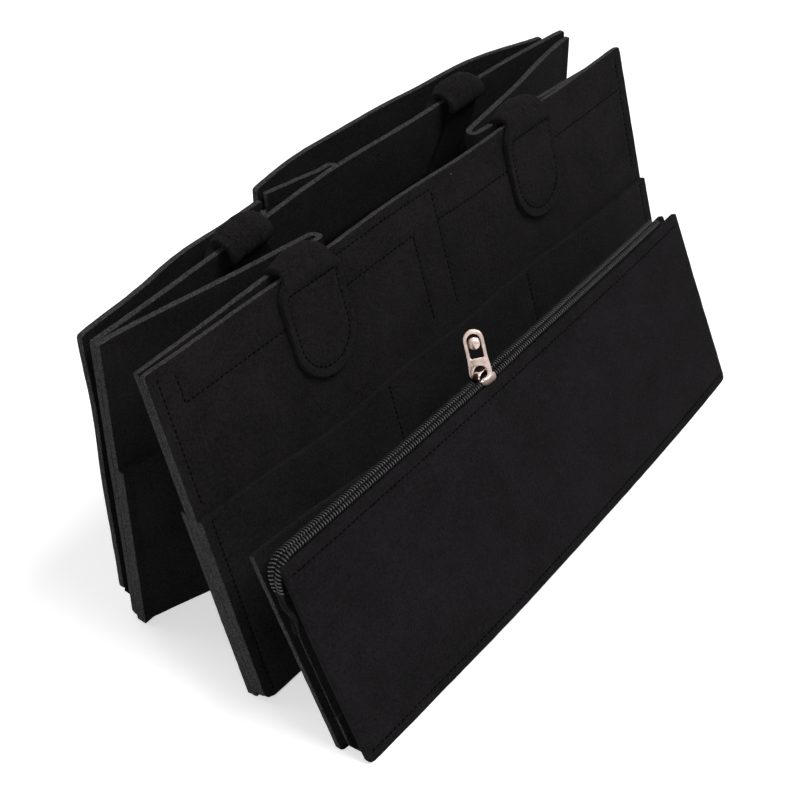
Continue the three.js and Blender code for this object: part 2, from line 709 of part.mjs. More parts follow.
function pullWindow(low, high, width, arched) {
  const half = width / 2;
  const path = new THREE.Path();
  path.moveTo(-half, low);
  path.lineTo(half, low);
  path.lineTo(half, arched ? high - half : high);
  if (arched) {
    path.absarc(0, high - half, half, 0, Math.PI, false);
  }
  path.lineTo(-half, arched ? high - half : high);
  return path;
}

function buildPull() {
  const outline = pullOutline();
  const bar = PULL_THICKNESS / 2;
  const small = PULL_WIDTH * 0.57;
  outline.holes.push(pullWindow(bar, bar + small * 0.8, small, false));
  outline.holes.push(pullWindow(PULL_LENGTH * 0.42, PULL_LENGTH - 4, small, true));
  const plate = slab(outline, 'x', -bar, bar);
  const pull = add(pouchFrame, 'zip_pull_tab', plate, roseNickel());
  pull.position.set(SLIDER_AT, pouchMiddle, pullHeight);
  pull.rotation.z = radians(PULL_TURN);
}

buildFrontPanel();
buildRearPanel();
buildSeams();
buildSides();
buildHandles();
buildRearPockets();
buildBase();
buildPouch();
buildZip();
buildSlider();
buildPull();

// The origin is under the middle of the whole, on the floor

const whole = new THREE.Group();
whole.add(caddy);
caddy.updateMatrixWorld(true);
const bounds = new THREE.Box3().setFromObject(caddy, true);
const centre = bounds.getCenter(new THREE.Vector3());
caddy.position.set(-centre.x, -centre.y, -bounds.min.z);

export default whole;
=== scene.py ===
import math

import bmesh
import bpy
import numpy as np
from mathutils import Matrix, Vector


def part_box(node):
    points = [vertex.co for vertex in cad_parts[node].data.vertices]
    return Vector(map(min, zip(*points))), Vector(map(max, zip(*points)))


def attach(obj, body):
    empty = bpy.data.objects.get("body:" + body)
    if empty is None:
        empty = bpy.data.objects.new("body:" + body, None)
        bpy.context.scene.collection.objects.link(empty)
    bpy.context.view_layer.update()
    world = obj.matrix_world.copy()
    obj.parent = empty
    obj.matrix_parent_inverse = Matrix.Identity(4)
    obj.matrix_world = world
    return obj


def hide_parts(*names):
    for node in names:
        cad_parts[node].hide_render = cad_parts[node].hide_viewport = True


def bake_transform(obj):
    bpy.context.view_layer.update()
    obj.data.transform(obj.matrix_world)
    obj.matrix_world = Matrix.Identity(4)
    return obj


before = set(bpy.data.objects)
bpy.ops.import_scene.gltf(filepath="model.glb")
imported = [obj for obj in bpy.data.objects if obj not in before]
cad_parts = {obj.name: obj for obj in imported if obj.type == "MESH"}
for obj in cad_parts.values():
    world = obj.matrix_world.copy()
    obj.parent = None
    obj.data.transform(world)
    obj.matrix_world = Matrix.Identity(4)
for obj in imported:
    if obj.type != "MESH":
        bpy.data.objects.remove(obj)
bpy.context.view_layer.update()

# Sizes in millimetres, the same as in the CAD source
WIDTH = 380
PANEL_HEIGHT = 183
FELT = 3
LINING = 2
SPREAD = 96.4
FRONT_LEAN = math.radians(12.3)
REAR_LEAN = math.radians(6)
SHEAR = 4
FOLD = (124.5, 52.4)
POUCH_WIDTH = 354
POUCH_HEIGHT = 112
POUCH_LEAN = math.radians(19.5)
POUCH_TURN = math.radians(2.1)
POUCH_AT = (0.3, -67.7)
SLIDER_AT = 161

# A sheet's grid keeps MARGIN off its outline; the walls' side seams are HEM from their ends
MARGIN = 0.5
HEM = 6.5
RIGHT_HEM = WIDTH - HEM
FLOOR_GAP = 0.05

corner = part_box("front_panel")[0]
ORIGIN = np.array([corner[0] * 1000, corner[1] * 1000, 0.0])


# Frames: x along a wall, n inward from its outer face, s up its slope


def front(x, n, s):
    c, k = math.cos(FRONT_LEAN), math.sin(FRONT_LEAN)
    x, n, s = np.broadcast_arrays(x, n, s)
    return np.stack([x, n * c + s * k, s * c - n * k], -1)


def rear(x, n, s):
    c, k = math.cos(REAR_LEAN), math.sin(REAR_LEAN)
    x, n, s = np.broadcast_arrays(x, n, s)
    return np.stack([x + SHEAR, SPREAD - n * c - s * k, s * c - n * k], -1)


def pouch(u, n, s):
    c, k = math.cos(POUCH_LEAN), math.sin(POUCH_LEAN)
    u, n, s = np.broadcast_arrays(u, n, s)
    y, z = n * c + s * k, s * c - n * k
    ct, st = math.cos(POUCH_TURN), math.sin(POUCH_TURN)
    return np.stack([POUCH_AT[0] + u * ct - y * st, POUCH_AT[1] + u * st + y * ct, z], -1)


def ripple(seed, length, count=6):
    """A smooth wave field over a sheet, between about -1 and 1."""
    rng = np.random.default_rng(seed)
    waves = [
        (2 * math.pi / length * rng.uniform(0.55, 1.6), rng.uniform(0, math.pi), rng.uniform(0, 6.28))
        for _ in range(count)
    ]

    def field(a, b):
        total = sum(np.sin(k * (np.cos(t) * a + np.sin(t) * b) + p) for k, t, p in waves)
        return total / math.sqrt(count)

    return field


def lines(start, end, step, marks=(), fine=(0.7, 1.5), edge=0.6):
    """Grid lines from start to end, closer round each mark and just inside both ends."""
    places = {start, end, start + edge, end - edge}
    count = max(1, round((end - start) / step))
    keep = [m + side * f for m in marks for f in (0, *fine) for side in (-1, 1)]
    places |= {p for p in keep if start + edge < p < end - edge}
    for i in range(1, count):
        p = start + (end - start) * i / count
        if all(abs(p - q) > step * 0.4 for q in places):
            places.add(p)
    return np.array(sorted(places))


# Mesh building


class Shape:
    """Points, quads and the material slot of each quad, gathered before they become an object."""

    def __init__(self):
        self.points, self.quads, self.slots, self.params = [], [], [], []
        self.count = 0

    def add(self, points, quads, slot, params=None):
        points = np.asarray(points, float).reshape(-1, 3)
        quads = np.asarray(quads, int).reshape(-1, 4)
        self.points.append(points)
        self.quads.append(quads + self.count)
        self.slots.append(np.full(len(quads), slot))
        self.params.append(np.zeros((len(points), 2)) if params is None else params.reshape(-1, 2))
        self.count += len(points)

    def arrays(self):
        return [np.concatenate(rows) for rows in (self.points, self.quads, self.slots, self.params)]


def linked(name, data):
    """A new object, put into the scene."""
    obj = bpy.data.objects.new(name, data)
    bpy.context.scene.collection.objects.link(obj)
    return obj


def emit(name, shape, materials, select=None):
    """The shape, or the quads that select picks by their mean first param, as an object in metres."""
    points, quads, slots, params = shape.arrays()
    if select is not None:
        chosen = select(params[quads].mean(axis=1)[:, 0])
        quads, slots = quads[chosen], slots[chosen]
        used, quads = np.unique(quads, return_inverse=True)
        quads = quads.reshape(-1, 4)
        points = points[used]
    points[:, 2] = np.maximum(points[:, 2], FLOOR_GAP)
    mesh = bpy.data.meshes.new(name)
    mesh.vertices.add(len(points))
    mesh.vertices.foreach_set("co", ((points + ORIGIN) / 1000).ravel())
    mesh.loops.add(quads.size)
    mesh.loops.foreach_set("vertex_index", quads.ravel().astype(np.int32))
    mesh.polygons.add(len(quads))
    mesh.polygons.foreach_set("loop_start", np.arange(0, quads.size, 4, dtype=np.int32))
    mesh.polygons.foreach_set("material_index", slots.astype(np.int32))
    mesh.polygons.foreach_set("use_smooth", np.ones(len(quads), bool))
    mesh.update(calc_edges=True)
    mesh.validate()
    for material in materials:
        mesh.materials.append(material)
    return linked(name, mesh)


def unit(v):
    return v / np.maximum(np.linalg.norm(v, axis=-1, keepdims=True), 1e-9)


def steps_of(us, vs):
    """Small steps for slopes, a fifth of the closest grid lines in each direction."""
    return 0.2 * np.diff(us).min(), 0.2 * np.diff(vs).min()


def surface_normals(surface, u, v, steps):
    a, b = steps
    du = surface(u + a, v) - surface(u - a, v)
    dv = surface(u, v + b) - surface(u, v - b)
    return unit(np.cross(du, dv))


def round_corners(u, v, box, radii):
    """Moves grid points so that the corners of a box are rounded; radii by (u end, v end)."""
    u0, u1, v0, v1 = box
    for (eu, ev), r in radii.items():
        su, sv = 2 * eu - 1, 2 * ev - 1
        cu, cv = (u0, u1)[eu] - su * r, (v0, v1)[ev] - sv * r
        a, b = (u - cu) * su / r, (v - cv) * sv / r
        inside = (a > 0) & (b > 0)
        u = np.where(inside, cu + a * np.sqrt(np.maximum(1 - b * b / 2, 0)) * r * su, u)
        v = np.where(inside, cv + b * np.sqrt(np.maximum(1 - a * a / 2, 0)) * r * sv, v)
    return u, v


def path_distance(u, v, path):
    """How far each (u, v) is from a polyline."""
    best = np.full(np.shape(u), 1e9)
    for (ax, ay), (bx, by) in zip(path[:-1], path[1:]):
        dx, dy = bx - ax, by - ay
        t = np.clip(((u - ax) * dx + (v - ay) * dy) / max(dx * dx + dy * dy, 1e-9), 0, 1)
        best = np.minimum(best, np.hypot(u - ax - t * dx, v - ay - t * dy))
    return best


FACE, CUT, THREAD = 0, 1, 2
ALL_CUT = (CUT, CUT, CUT, CUT)
TOP_PLAIN = (CUT, CUT, FACE, CUT)
PLAIN = (FACE, FACE, FACE, FACE)

# An edge's section: (how far it reaches out, its level from one face, 1, to the other, -1)
SQUARE = ((0.45, 0.94), (0.92, 0.72), (1.0, 0.0), (0.92, -0.72), (0.45, -0.94))
GROOVE_WIDTH = 1.1
STITCH = 3.1


def thickness_at(thickness, u, v):
    return thickness(u, v) if callable(thickness) else np.full(np.shape(u), float(thickness))


def felt_sheet(
    surface, us, vs, thickness=FELT, stitches=(), radii=None, chamfer=0.5, rim=SQUARE, edges=ALL_CUT,
    groove=0.6, grain=0.0, seed=1, thread=0.38, belly=0.0,
):
    """A closed sheet of felt about a middle surface(u, v), with cut edges and sewn lines.

    stitches is a list of (side, path): side 1 is the normal's side and -1 the other.
    radii are the corners' radii, and chamfer is how far the edge reaches out of the grid.
    edges are the material slots of the v start, u end, v end and u start edges.
    belly rounds the edge outward where the sheet is thick, with a small slit in the middle.
    """
    shape = Shape()
    U, V = np.meshgrid(us, vs, indexing="ij")
    if radii:
        U, V = round_corners(U, V, (us[0], us[-1], vs[0], vs[-1]), radii)
    steps = steps_of(us, vs)
    P = surface(U, V)
    N = surface_normals(surface, U, V, steps)
    T = thickness_at(thickness, U, V)
    rng = np.random.default_rng(seed)
    dent = {side: np.zeros(U.shape) for side in (1, -1)}
    for side, path in stitches:
        fall = groove * np.exp(-((path_distance(U, V, path) / GROOVE_WIDTH) ** 2))
        dent[side] = np.maximum(dent[side], fall)
    rough = np.zeros(U.shape)
    if grain:
        field, fine = ripple(seed, 24), ripple(seed + 50, 9)
        rough = grain * (0.7 * field(U, V) + 0.3 * fine(U, V))
    nu, nv = U.shape
    index = np.arange(nu * nv).reshape(nu, nv)
    quads = np.stack([index[:-1, :-1], index[1:, :-1], index[1:, 1:], index[:-1, 1:]], -1).reshape(-1, 4)
    params = np.stack([U, V], -1)
    for side in (1, -1):
        face = P + N * (side * (T / 2 - dent[side]) + rough)[..., None]
        shape.add(face, quads[:, ::side], FACE, params)
    loop = np.concatenate([index[:, 0], index[-1, 1:], index[-2::-1, -1], index[0, -2:0:-1]])
    slots = np.repeat(edges, [nu - 1, nv - 1, nu - 1, nv - 1])
    flat = P.reshape(-1, 3)[loop]
    normal = N.reshape(-1, 3)[loop]
    half = (T / 2).reshape(-1)[loop]
    tangent = unit(np.roll(flat, -1, 0) - np.roll(flat, 1, 0))
    outward = unit(np.cross(tangent, normal))
    lift = rough.reshape(-1)[loop]
    count = len(loop)
    jitter = rng.normal(0, 0.06, (len(rim), count))
    rings = [loop]
    puff = belly * np.clip((half - 1.8) / 2.2, 0, 1)
    slit = belly * 0.9 * np.clip((half - 3.9) / 0.2, 0, 1)
    for i, (reach, level) in enumerate(rim):
        extra = puff * math.sqrt(1 - level * level) - slit * (abs(level) < 0.15)
        ring = flat + outward * (chamfer * reach + extra + jitter[i])[:, None]
        ring += normal * (half * level + lift)[:, None]
        shape.add(ring, np.zeros((0, 4), int), CUT, params.reshape(-1, 2)[loop])
        rings.append(np.arange(count) + shape.count - count)
    rings.append(loop + nu * nv)
    for upper, lower in zip(rings[:-1], rings[1:]):
        shape.quads.append(np.stack([upper, lower, np.roll(lower, -1), np.roll(upper, -1)], -1))
        shape.slots.append(slots)
    for side, path in stitches:
        sew(shape, surface, path, side, thickness, groove, thread, steps, rng)
    return shape


def lengths(points):
    """How far along a polyline each of its points lies."""
    return np.concatenate([[0], np.cumsum(np.hypot(*np.diff(points, axis=0).T))])


def along(path, spacing):
    """Places that split a polyline into runs of one spacing."""
    path = np.asarray(path, float)
    total = lengths(path)
    marks = np.linspace(0, total[-1], max(1, round(total[-1] / spacing)) + 1)
    return np.stack([np.interp(marks, total, path[:, 0]), np.interp(marks, total, path[:, 1])], -1)


# Sides of a thread and of the coil's wire
SIDES = 6


def ring_quads(rings, count):
    """Quads between neighbouring rings of count points."""
    index = np.arange(rings * count).reshape(rings, count)
    beside = np.roll(index, -1, 1)
    return np.stack([index[:-1], beside[:-1], beside[1:], index[1:]], -1).reshape(-1, 4)


def round_rings(centres, side, top, size):
    """A ring of points about each centre, in the plane of its side and top."""
    angles = np.arange(SIDES) * 2 * math.pi / SIDES
    across = side[:, None] * (np.cos(angles) * size[:, None])[..., None]
    return centres[:, None] + across + top[:, None] * (np.sin(angles) * size[:, None])[..., None]


def sew(shape, surface, path, side, thickness, groove, radius, steps, rng):
    """Thread stitches along a path, each a short arched run that dips into the felt at both ends."""
    marks = along(path, STITCH)
    t = np.array([0.13, 0.25, 0.5, 0.75, 0.87])
    for a, b in zip(marks[:-1], marks[1:]):
        u, v = a[0] + (b[0] - a[0]) * t, a[1] + (b[1] - a[1]) * t
        p, n = surface(u, v), surface_normals(surface, u, v, steps) * side
        rise = np.array([-0.35, 0.02, 0.12, 0.02, -0.35]) + rng.normal(0, 0.03)
        centre = p + n * (thickness_at(thickness, u, v) / 2 - groove + rise)[:, None]
        cross = unit(np.cross(unit(np.gradient(centre, axis=0)), n))
        ring = round_rings(centre, cross, n, radius * np.array([0.6, 1.0, 1.0, 1.0, 0.6]))
        params = np.repeat(np.stack([u, v], -1), SIDES, axis=0)
        shape.add(ring, ring_quads(len(t), SIDES), THREAD, params)


def tube(shape, centres, radius, slot=FACE):
    """A round tube along points, with radius as a number or one for each point."""
    run = unit(np.gradient(centres, axis=0))
    side = unit(np.cross(run, np.array([0.0, 0.0, 1.0])))
    size = np.broadcast_to(np.asarray(radius, float), (len(centres),))
    shape.add(round_rings(centres, side, np.cross(side, run), size), ring_quads(len(centres), SIDES), slot)


# Materials


def new_material(name):
    material = bpy.data.materials.new(name)
    material.use_nodes = True
    tree = material.node_tree
    return material, tree, tree.nodes["Principled BSDF"]


def feed(socket, value):
    """Links a socket to another one, or gives it a value."""
    if isinstance(value, bpy.types.NodeSocket):
        socket.id_data.links.new(value, socket)
    else:
        socket.default_value = value


def set_inputs(made, **values):
    for key, value in values.items():
        feed(made.inputs[key.replace("_", " ")], value)


def node(tree, kind, **values):
    made = tree.nodes.new(f"ShaderNode{kind}")
    set_inputs(made, **values)
    return made


def object_coords(tree):
    return node(tree, "TexCoord").outputs["Object"]


def noise(tree, coords, scale, detail=3.0, rough=0.6, distortion=0.0):
    values = {"Scale": scale, "Detail": detail, "Roughness": rough, "Distortion": distortion}
    return node(tree, "TexNoise", Vector=coords, **values).outputs["Fac"]


def wave(tree, coords, direction, scale, distortion):
    made = node(tree, "TexWave", Vector=coords, Scale=scale, Distortion=distortion)
    made.bands_direction = direction
    return made.outputs["Fac"]


def ramp(tree, value, stops):
    made = node(tree, "ValToRGB", Fac=value)
    elements = made.color_ramp.elements
    while len(elements) < len(stops):
        elements.new(0.5)
    for element, (place, colour) in zip(elements, stops):
        element.position = place
        element.color = (*colour, 1)
    return made.outputs["Color"]


def combine(tree, a, b, factor):
    made = node(tree, "Mix")
    made.data_type = "RGBA"
    for place, value in ((0, factor), (6, a), (7, b)):
        feed(made.inputs[place], value)
    return made.outputs[2]


def calc(tree, operation, a, b):
    made = node(tree, "Math")
    made.operation = operation
    feed(made.inputs[0], a)
    feed(made.inputs[1], b)
    return made.outputs[0]


def weighted(tree, *pairs):
    total = None
    for value, weight in pairs:
        term = calc(tree, "MULTIPLY", value, weight)
        total = term if total is None else calc(tree, "ADD", total, term)
    return total


def spread(tree, value, low, high):
    return node(tree, "MapRange", Value=value, To_Min=low, To_Max=high).outputs["Result"]


def colour_and_bump(tree, shader, colour, height, strength, distance):
    made = node(tree, "Bump", Height=height, Strength=strength, Distance=distance)
    set_inputs(shader, Base_Color=colour, Normal=made.outputs["Normal"])


def felt_material(name, dark, light, speck, sheen, cut=False):
    """Needled felt: matted fibres, faint mottling, small pits and a few pale specks of lint."""
    material, tree, shader = new_material(name)
    coords = object_coords(tree)
    mottle = noise(tree, coords, 34, 4, 0.62, 0.4)
    matted = noise(tree, coords, 560, 4, 0.7, 1.2)
    fibres = noise(tree, coords, 1000 if cut else 1500, 2, 0.6, 2.5)
    grains = noise(tree, coords, 950, 2, 0.5, 0.3)
    blend = weighted(tree, (mottle, 0.25), (matted, 0.35), (grains, 0.4))
    colour = ramp(tree, blend, [(0.4, dark), (0.6, light)])
    strands = ramp(tree, fibres, [(0.46 if cut else 0.5, (0, 0, 0)), (0.6 if cut else 0.74, (1, 1, 1))])
    colour = combine(tree, colour, (*speck, 1), calc(tree, "MULTIPLY", strands, 0.9 if cut else 0.5))
    if not cut:
        dots = node(tree, "TexVoronoi", Vector=coords, Scale=30.0).outputs
        split = node(tree, "SeparateColor", Color=dots["Color"])
        lint = calc(tree, "LESS_THAN", dots["Distance"], 0.011)
        lint = calc(tree, "MULTIPLY", lint, calc(tree, "GREATER_THAN", split.outputs[0], 0.78))
        colour = combine(tree, colour, (0.14, 0.13, 0.12, 1), lint)
    pits = node(tree, "TexVoronoi", Vector=coords, Scale=430.0).outputs["Distance"]
    height = weighted(tree, (matted, 0.6), (fibres, 0.5), (grains, 0.7), (pits, 0.25), (mottle, 0.8))
    colour_and_bump(tree, shader, colour, height, 1.0, 0.0009 if cut else 0.0007)
    set_inputs(shader, Roughness=0.95, Specular_IOR_Level=0.03)
    set_inputs(shader, Sheen_Weight=sheen, Sheen_Roughness=0.6, Sheen_Tint=(0.62, 0.58, 0.6, 1))
    return material


felt = felt_material(
    "felt_black", (0.0032, 0.0029, 0.0031), (0.0126, 0.0115, 0.0121), (0.029, 0.0265, 0.028), 0.012
)
# Painted shade: the pouch takes a slightly darker copy of the black felt to hold down the stronger light on
# its face
felt_pouch_painted_shade = felt_material(
    "felt_pouch_painted_shade", (0.0030, 0.0027, 0.0030), (0.0112, 0.0101, 0.0113), (0.025, 0.023, 0.025), 0.013
)
felt_cut = felt_material(
    "felt_cut_edge", (0.0036, 0.0033, 0.0036), (0.021, 0.0198, 0.021), (0.08, 0.0765, 0.08), 0.018, True
)
# Painted shade: the pieces inside the caddy (inner pockets, strap legs, grips, rear pocket floors) take this
# darker copy of the black felt
lining = felt_material(
    "felt_lining_painted_shade", (0.0022, 0.0020, 0.0022), (0.0045, 0.0041, 0.0044), (0.010, 0.0095, 0.0100), 0.006
)


def thread_material():
    """Twisted sewing thread with fine slanting plies."""
    material, tree, shader = new_material("thread_black")
    plies = wave(tree, object_coords(tree), "DIAGONAL", 900.0, 1.5)
    colour = ramp(tree, plies, [(0, (0.0004, 0.0004, 0.0004)), (1, (0.0014, 0.0013, 0.0014))])
    colour_and_bump(tree, shader, colour, plies, 0.5, 0.0002)
    set_inputs(shader, Roughness=0.75, Specular_IOR_Level=0.02)
    return material


thread = thread_material()


def nylon_material():
    """Shiny moulded nylon with a slightly uneven gloss."""
    material, tree, shader = new_material("nylon_coil")
    grain = noise(tree, object_coords(tree), 700, 3, 0.5)
    colour = ramp(tree, grain, [(0.3, (0.010, 0.010, 0.011)), (0.7, (0.020, 0.020, 0.022))])
    colour_and_bump(tree, shader, colour, grain, 0.2, 0.0001)
    set_inputs(shader, Roughness=spread(tree, grain, 0.24, 0.4), Specular_IOR_Level=0.42)
    return material


nylon = nylon_material()


def tape_material():
    """Woven zip tape: a fine herringbone of dull threads."""
    material, tree, shader = new_material("zip_tape")
    coords = object_coords(tree)
    slant = wave(tree, coords, "DIAGONAL", 300.0, 0.8)
    weave = calc(tree, "MULTIPLY", wave(tree, coords, "X", 420.0, 0.6), slant)
    colour = ramp(tree, weave, [(0, (0.002, 0.002, 0.0022)), (1, (0.008, 0.0077, 0.0083))])
    colour_and_bump(tree, shader, colour, weave, 0.6, 0.0003)
    set_inputs(shader, Roughness=0.8, Specular_IOR_Level=0.06, Sheen_Weight=0.004)
    return material


tape = tape_material()


def metal_material(name, dark, light, shaded=None):
    """Pink-tinted plated nickel with fine handling marks; where a shaded colour is given, faces turned
    sideways get it as painted shade.
    """
    material, tree, shader = new_material(name)
    coords = object_coords(tree)
    cloud = noise(tree, coords, 260, 4, 0.6)
    scratch = noise(tree, coords, 1400, 2, 0.5, 6.0)
    colour = ramp(tree, cloud, [(0.3, dark), (0.7, light)])
    # Painted shade: the more a face turns from up, the more it takes the dark shaded colour
    if shaded:
        axes = node(tree, "SeparateXYZ", Vector=node(tree, "TexCoord").outputs["Normal"])
        turned = ramp(tree, axes.outputs["Z"], [(0.15, (1, 1, 1)), (0.8, (0, 0, 0))])
        colour = combine(tree, colour, (*shaded, 1), turned)
    colour_and_bump(tree, shader, colour, scratch, 0.12, 0.00006)
    set_inputs(shader, Roughness=spread(tree, scratch, 0.14, 0.3), Metallic=1.0)
    return material


nickel = metal_material("rose_nickel", (0.46, 0.34, 0.30), (0.74, 0.60, 0.54))
# Painted shade: the slider body's sideways faces are darkened in its colour
nickel_body_painted_shade = metal_material("rose_nickel_body", (0.46, 0.35, 0.31), (0.80, 0.67, 0.61), (0.07, 0.045, 0.035))
# Painted shade: a darker copy of the rose nickel for the pull tab's edge faces
nickel_rim_painted_shade = metal_material("rose_nickel_rim", (0.16, 0.10, 0.08), (0.34, 0.25, 0.21))

FELT_SET = (felt, felt_cut, thread)
SHADED_POUCH_SET = (felt_pouch_painted_shade, felt_cut, thread)
SHADED_LINING_SET = (lining, felt_cut, thread)
TAPE_SET = (tape, tape, thread)


def dress(obj, slot, *nodes):
    if nodes:
        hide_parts(*nodes)
    return obj


def sewn(name, shape, materials, cad, body):
    """A felt piece that replaces one CAD node and rides on one body."""
    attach(dress(emit(name, shape, materials), "felt", cad), body)


def metres(p):
    return tuple((np.asarray(p, float) + ORIGIN) / 1000)


def ease(x):
    x = np.clip(x, 0, 1)
    return x * x * (3 - 2 * x)


def smooth(places, values, at):
    """A smooth curve through values: sampled straight runs, blurred a little."""
    fine = np.linspace(places[0], places[-1], 600)
    curve = np.interp(fine, places, values)
    kernel = np.exp(-np.linspace(-2, 2, 31) ** 2)
    kernel /= kernel.sum()
    padded = np.concatenate([2 * curve[0] - curve[15:0:-1], curve, 2 * curve[-1] - curve[-2:-17:-1]])
    return np.interp(at, fine, np.convolve(padded, kernel, "valid"))


# The front wall


def wall_bend(field, amount):
    """How far a leaning wall bends out of its plane, the same for all its layers."""

    def bend(x, s):
        hold = np.sin(np.pi * np.clip(x / WIDTH, 0, 1))
        return amount * hold * np.clip(s / PANEL_HEIGHT, 0, 1) * field(x, s)

    return bend


front_bend = wall_bend(ripple(3, 210), 0.8)
rear_wave = wall_bend(ripple(8, 190), 1.0)
REAR_BOW = 8.4
RIGHT_BACK = 4.5


def rear_bend(x, s):
    """The rear wall bows backward towards its top, more on the right."""
    along_wall = np.clip(x / WIDTH, 0, 1)
    bow = REAR_BOW * np.sin(np.pi * along_wall) * (0.6 + 0.9 * along_wall)
    bow = bow + RIGHT_BACK * ease(2 * along_wall - 1)
    return rear_wave(x, s) - bow * np.clip(s / PANEL_HEIGHT, 0, 1.05)


# How much a top edge rises, over how long a run from the left, and once more near its right end
ARCHES = {"front": (3.0, 200, 1.8), "rear": (2.0, 150, 0.8)}


def arch(x, name):
    """How much a wall's top edge stands above its ends."""
    rise, run, right_rise = ARCHES[name]
    return rise * ease(x / run) + right_rise * ease((x - 290) / 90)


def layer(wall, bend, n):
    return lambda x, s: wall(x, n + bend(x, s), s)


TOP_WAVE = 0.5
CORNER_REACH = 2.2


def panel_surface(wall, bend, rise, name):
    """The middle of a stiff panel with an uneven top; the front one's right corner reaches out."""
    middle = layer(wall, bend, FELT / 2)

    def surface(x, s):
        up = TOP_WAVE * rise(x, 0 * x) + arch(x, name)
        reach = CORNER_REACH * np.clip(s / 83 - 1.2, 0, 1) * np.clip(x / WIDTH, 0, 1) ** 3 * (name == "front")
        return middle(x + reach, s + up * np.clip(s / PANEL_HEIGHT, 0, 1))

    return surface


def box_path(x0, s0, x1, s1):
    return [(x0, s1), (x0, s0), (x1, s0), (x1, s1)]


def corners(low, top_left, top_right):
    """Corner radii of a sheet whose two lower ones are the same."""
    return {(0, 0): low, (1, 0): low, (0, 1): top_left, (1, 1): top_right}


# The front panel's stitches lie round the tops of the inner pockets, whose near ends are these
LEFT_BAG_END = 180
RIGHT_BAG_START = 200
SEAM_LEVEL = 160
front_paths = [
    [(16.5, 175), (16.5, SEAM_LEVEL), (LEFT_BAG_END, SEAM_LEVEL)],
    [(RIGHT_BAG_START, SEAM_LEVEL), (372, SEAM_LEVEL)],
    [(LEFT_BAG_END, SEAM_LEVEL), (LEFT_BAG_END, 113)],
    [(RIGHT_BAG_START, 176), (RIGHT_BAG_START, 113)],
    [(110, 177), (RIGHT_BAG_START, 177)],
    [(HEM, 112), (HEM, 178)],
    [(RIGHT_HEM, 112), (RIGHT_HEM, 178)],
]
panel = felt_sheet(
    panel_surface(front, front_bend, ripple(12, 150, 4), "front"),
    lines(MARGIN, WIDTH - MARGIN, 4.5, (HEM, 16.5, LEFT_BAG_END, RIGHT_BAG_START, 372, RIGHT_HEM)),
    lines(MARGIN, PANEL_HEIGHT - MARGIN, 4.5, (SEAM_LEVEL, 177)),
    FELT + 0.24,
    [(1, path) for path in front_paths],
    corners(6, 1.5, 2), chamfer=0.3, grain=0.06, seed=5,
)
sewn("front_wall_felt", panel, FELT_SET, "front_panel", "front")

DIVIDERS = (133.6, 256.0)
POCKET_TOP = 107


def pocket_swell(x, s):
    """How far the front pocket stands off the panel: most in the middle of each compartment's mouth."""
    ends = (0, *DIVIDERS, WIDTH)
    swell = np.zeros(np.broadcast(x, s).shape)
    for a, b, depth in zip(ends[:-1], ends[1:], (1.6, 2.6, 2.0)):
        t = np.clip((x - a) / (b - a), 0, 1)
        swell = swell + depth * np.sin(np.pi * t) ** 2
    return swell * np.clip((s - 35) / 72, 0, 1) ** 1.6


def pocket_top(x):
    dips = 4.5 * np.exp(-(((x - 100) / 40) ** 2)) + 1.2 * np.exp(-(((x - 190) / 40) ** 2))
    return POCKET_TOP - dips


def pocket_surface(x, v):
    s = MARGIN + (pocket_top(x) - MARGIN) * v / POCKET_TOP
    return front(x, -1.65 - pocket_swell(x, s) + front_bend(x, s), s)


pocket = felt_sheet(
    pocket_surface,
    lines(MARGIN, WIDTH - MARGIN, 4.5, (HEM, *DIVIDERS, RIGHT_HEM)),
    lines(MARGIN, POCKET_TOP - MARGIN, 4.5),
    FELT + 0.24,
    [(1, [(x, 3), (x, 105)]) for x in (HEM, *DIVIDERS, RIGHT_HEM)],
    corners(6, 1, 1), chamfer=0.3, edges=TOP_PLAIN, grain=0.08, seed=6,
)
sewn("front_pocket_felt", pocket, FELT_SET, "front_outer_pocket", "front")

BAG_FOOT = 40
BAG_TOP = 150
BAG_LAYER = 4.3


def inner_bag(surface, x0, x1, outer, dividers, seed):
    """A lining sewn inside a wall along three sides and its dividers."""
    low, high = BAG_FOOT + 4, BAG_TOP - 4
    paths = [box_path(x0 + 4, low, x1 - 4, high)] + [[(x, high), (x, low)] for x in dividers]
    return felt_sheet(
        surface,
        lines(x0 + 0.4, x1 - 0.4, 7, dividers),
        lines(BAG_FOOT + 0.4, BAG_TOP - 0.4, 7),
        LINING, [(outer, path) for path in paths], chamfer=0.4, edges=PLAIN, seed=seed,
    )


for name, x0, x1 in (("left", 35, LEFT_BAG_END), ("right", RIGHT_BAG_START, 345)):
    bag = inner_bag(layer(front, front_bend, BAG_LAYER), x0, x1, -1, (), 9)
    sewn(f"front_bag_{name}", bag, SHADED_LINING_SET, f"front_inner_{name}_pocket", "front")

# The rear wall

panel = felt_sheet(
    panel_surface(rear, rear_bend, ripple(31, 170, 4), "rear"),
    lines(MARGIN, WIDTH - MARGIN, 5, (HEM, RIGHT_HEM)),
    lines(MARGIN, PANEL_HEIGHT - MARGIN, 5, (12,)),
    FELT,
    [(-1, [(x, 4), (x, 178)]) for x in (HEM, RIGHT_HEM)] + [(-1, [(HEM, 12), (RIGHT_HEM, 12)])],
    corners(5, 1.5, 2), chamfer=0.3, grain=0.06, seed=15,
)
sewn("rear_wall_felt", panel, FELT_SET, "rear_panel", "rear")
bag = inner_bag(layer(rear, rear_bend, BAG_LAYER), 25, WIDTH - 25, 1, (WIDTH / 2,), 19)
sewn("rear_bag", bag, SHADED_LINING_SET, "rear_inner_pocket", "rear")

# The folded sides: one felt from the front seam round the fold to the rear seam, and its pocket

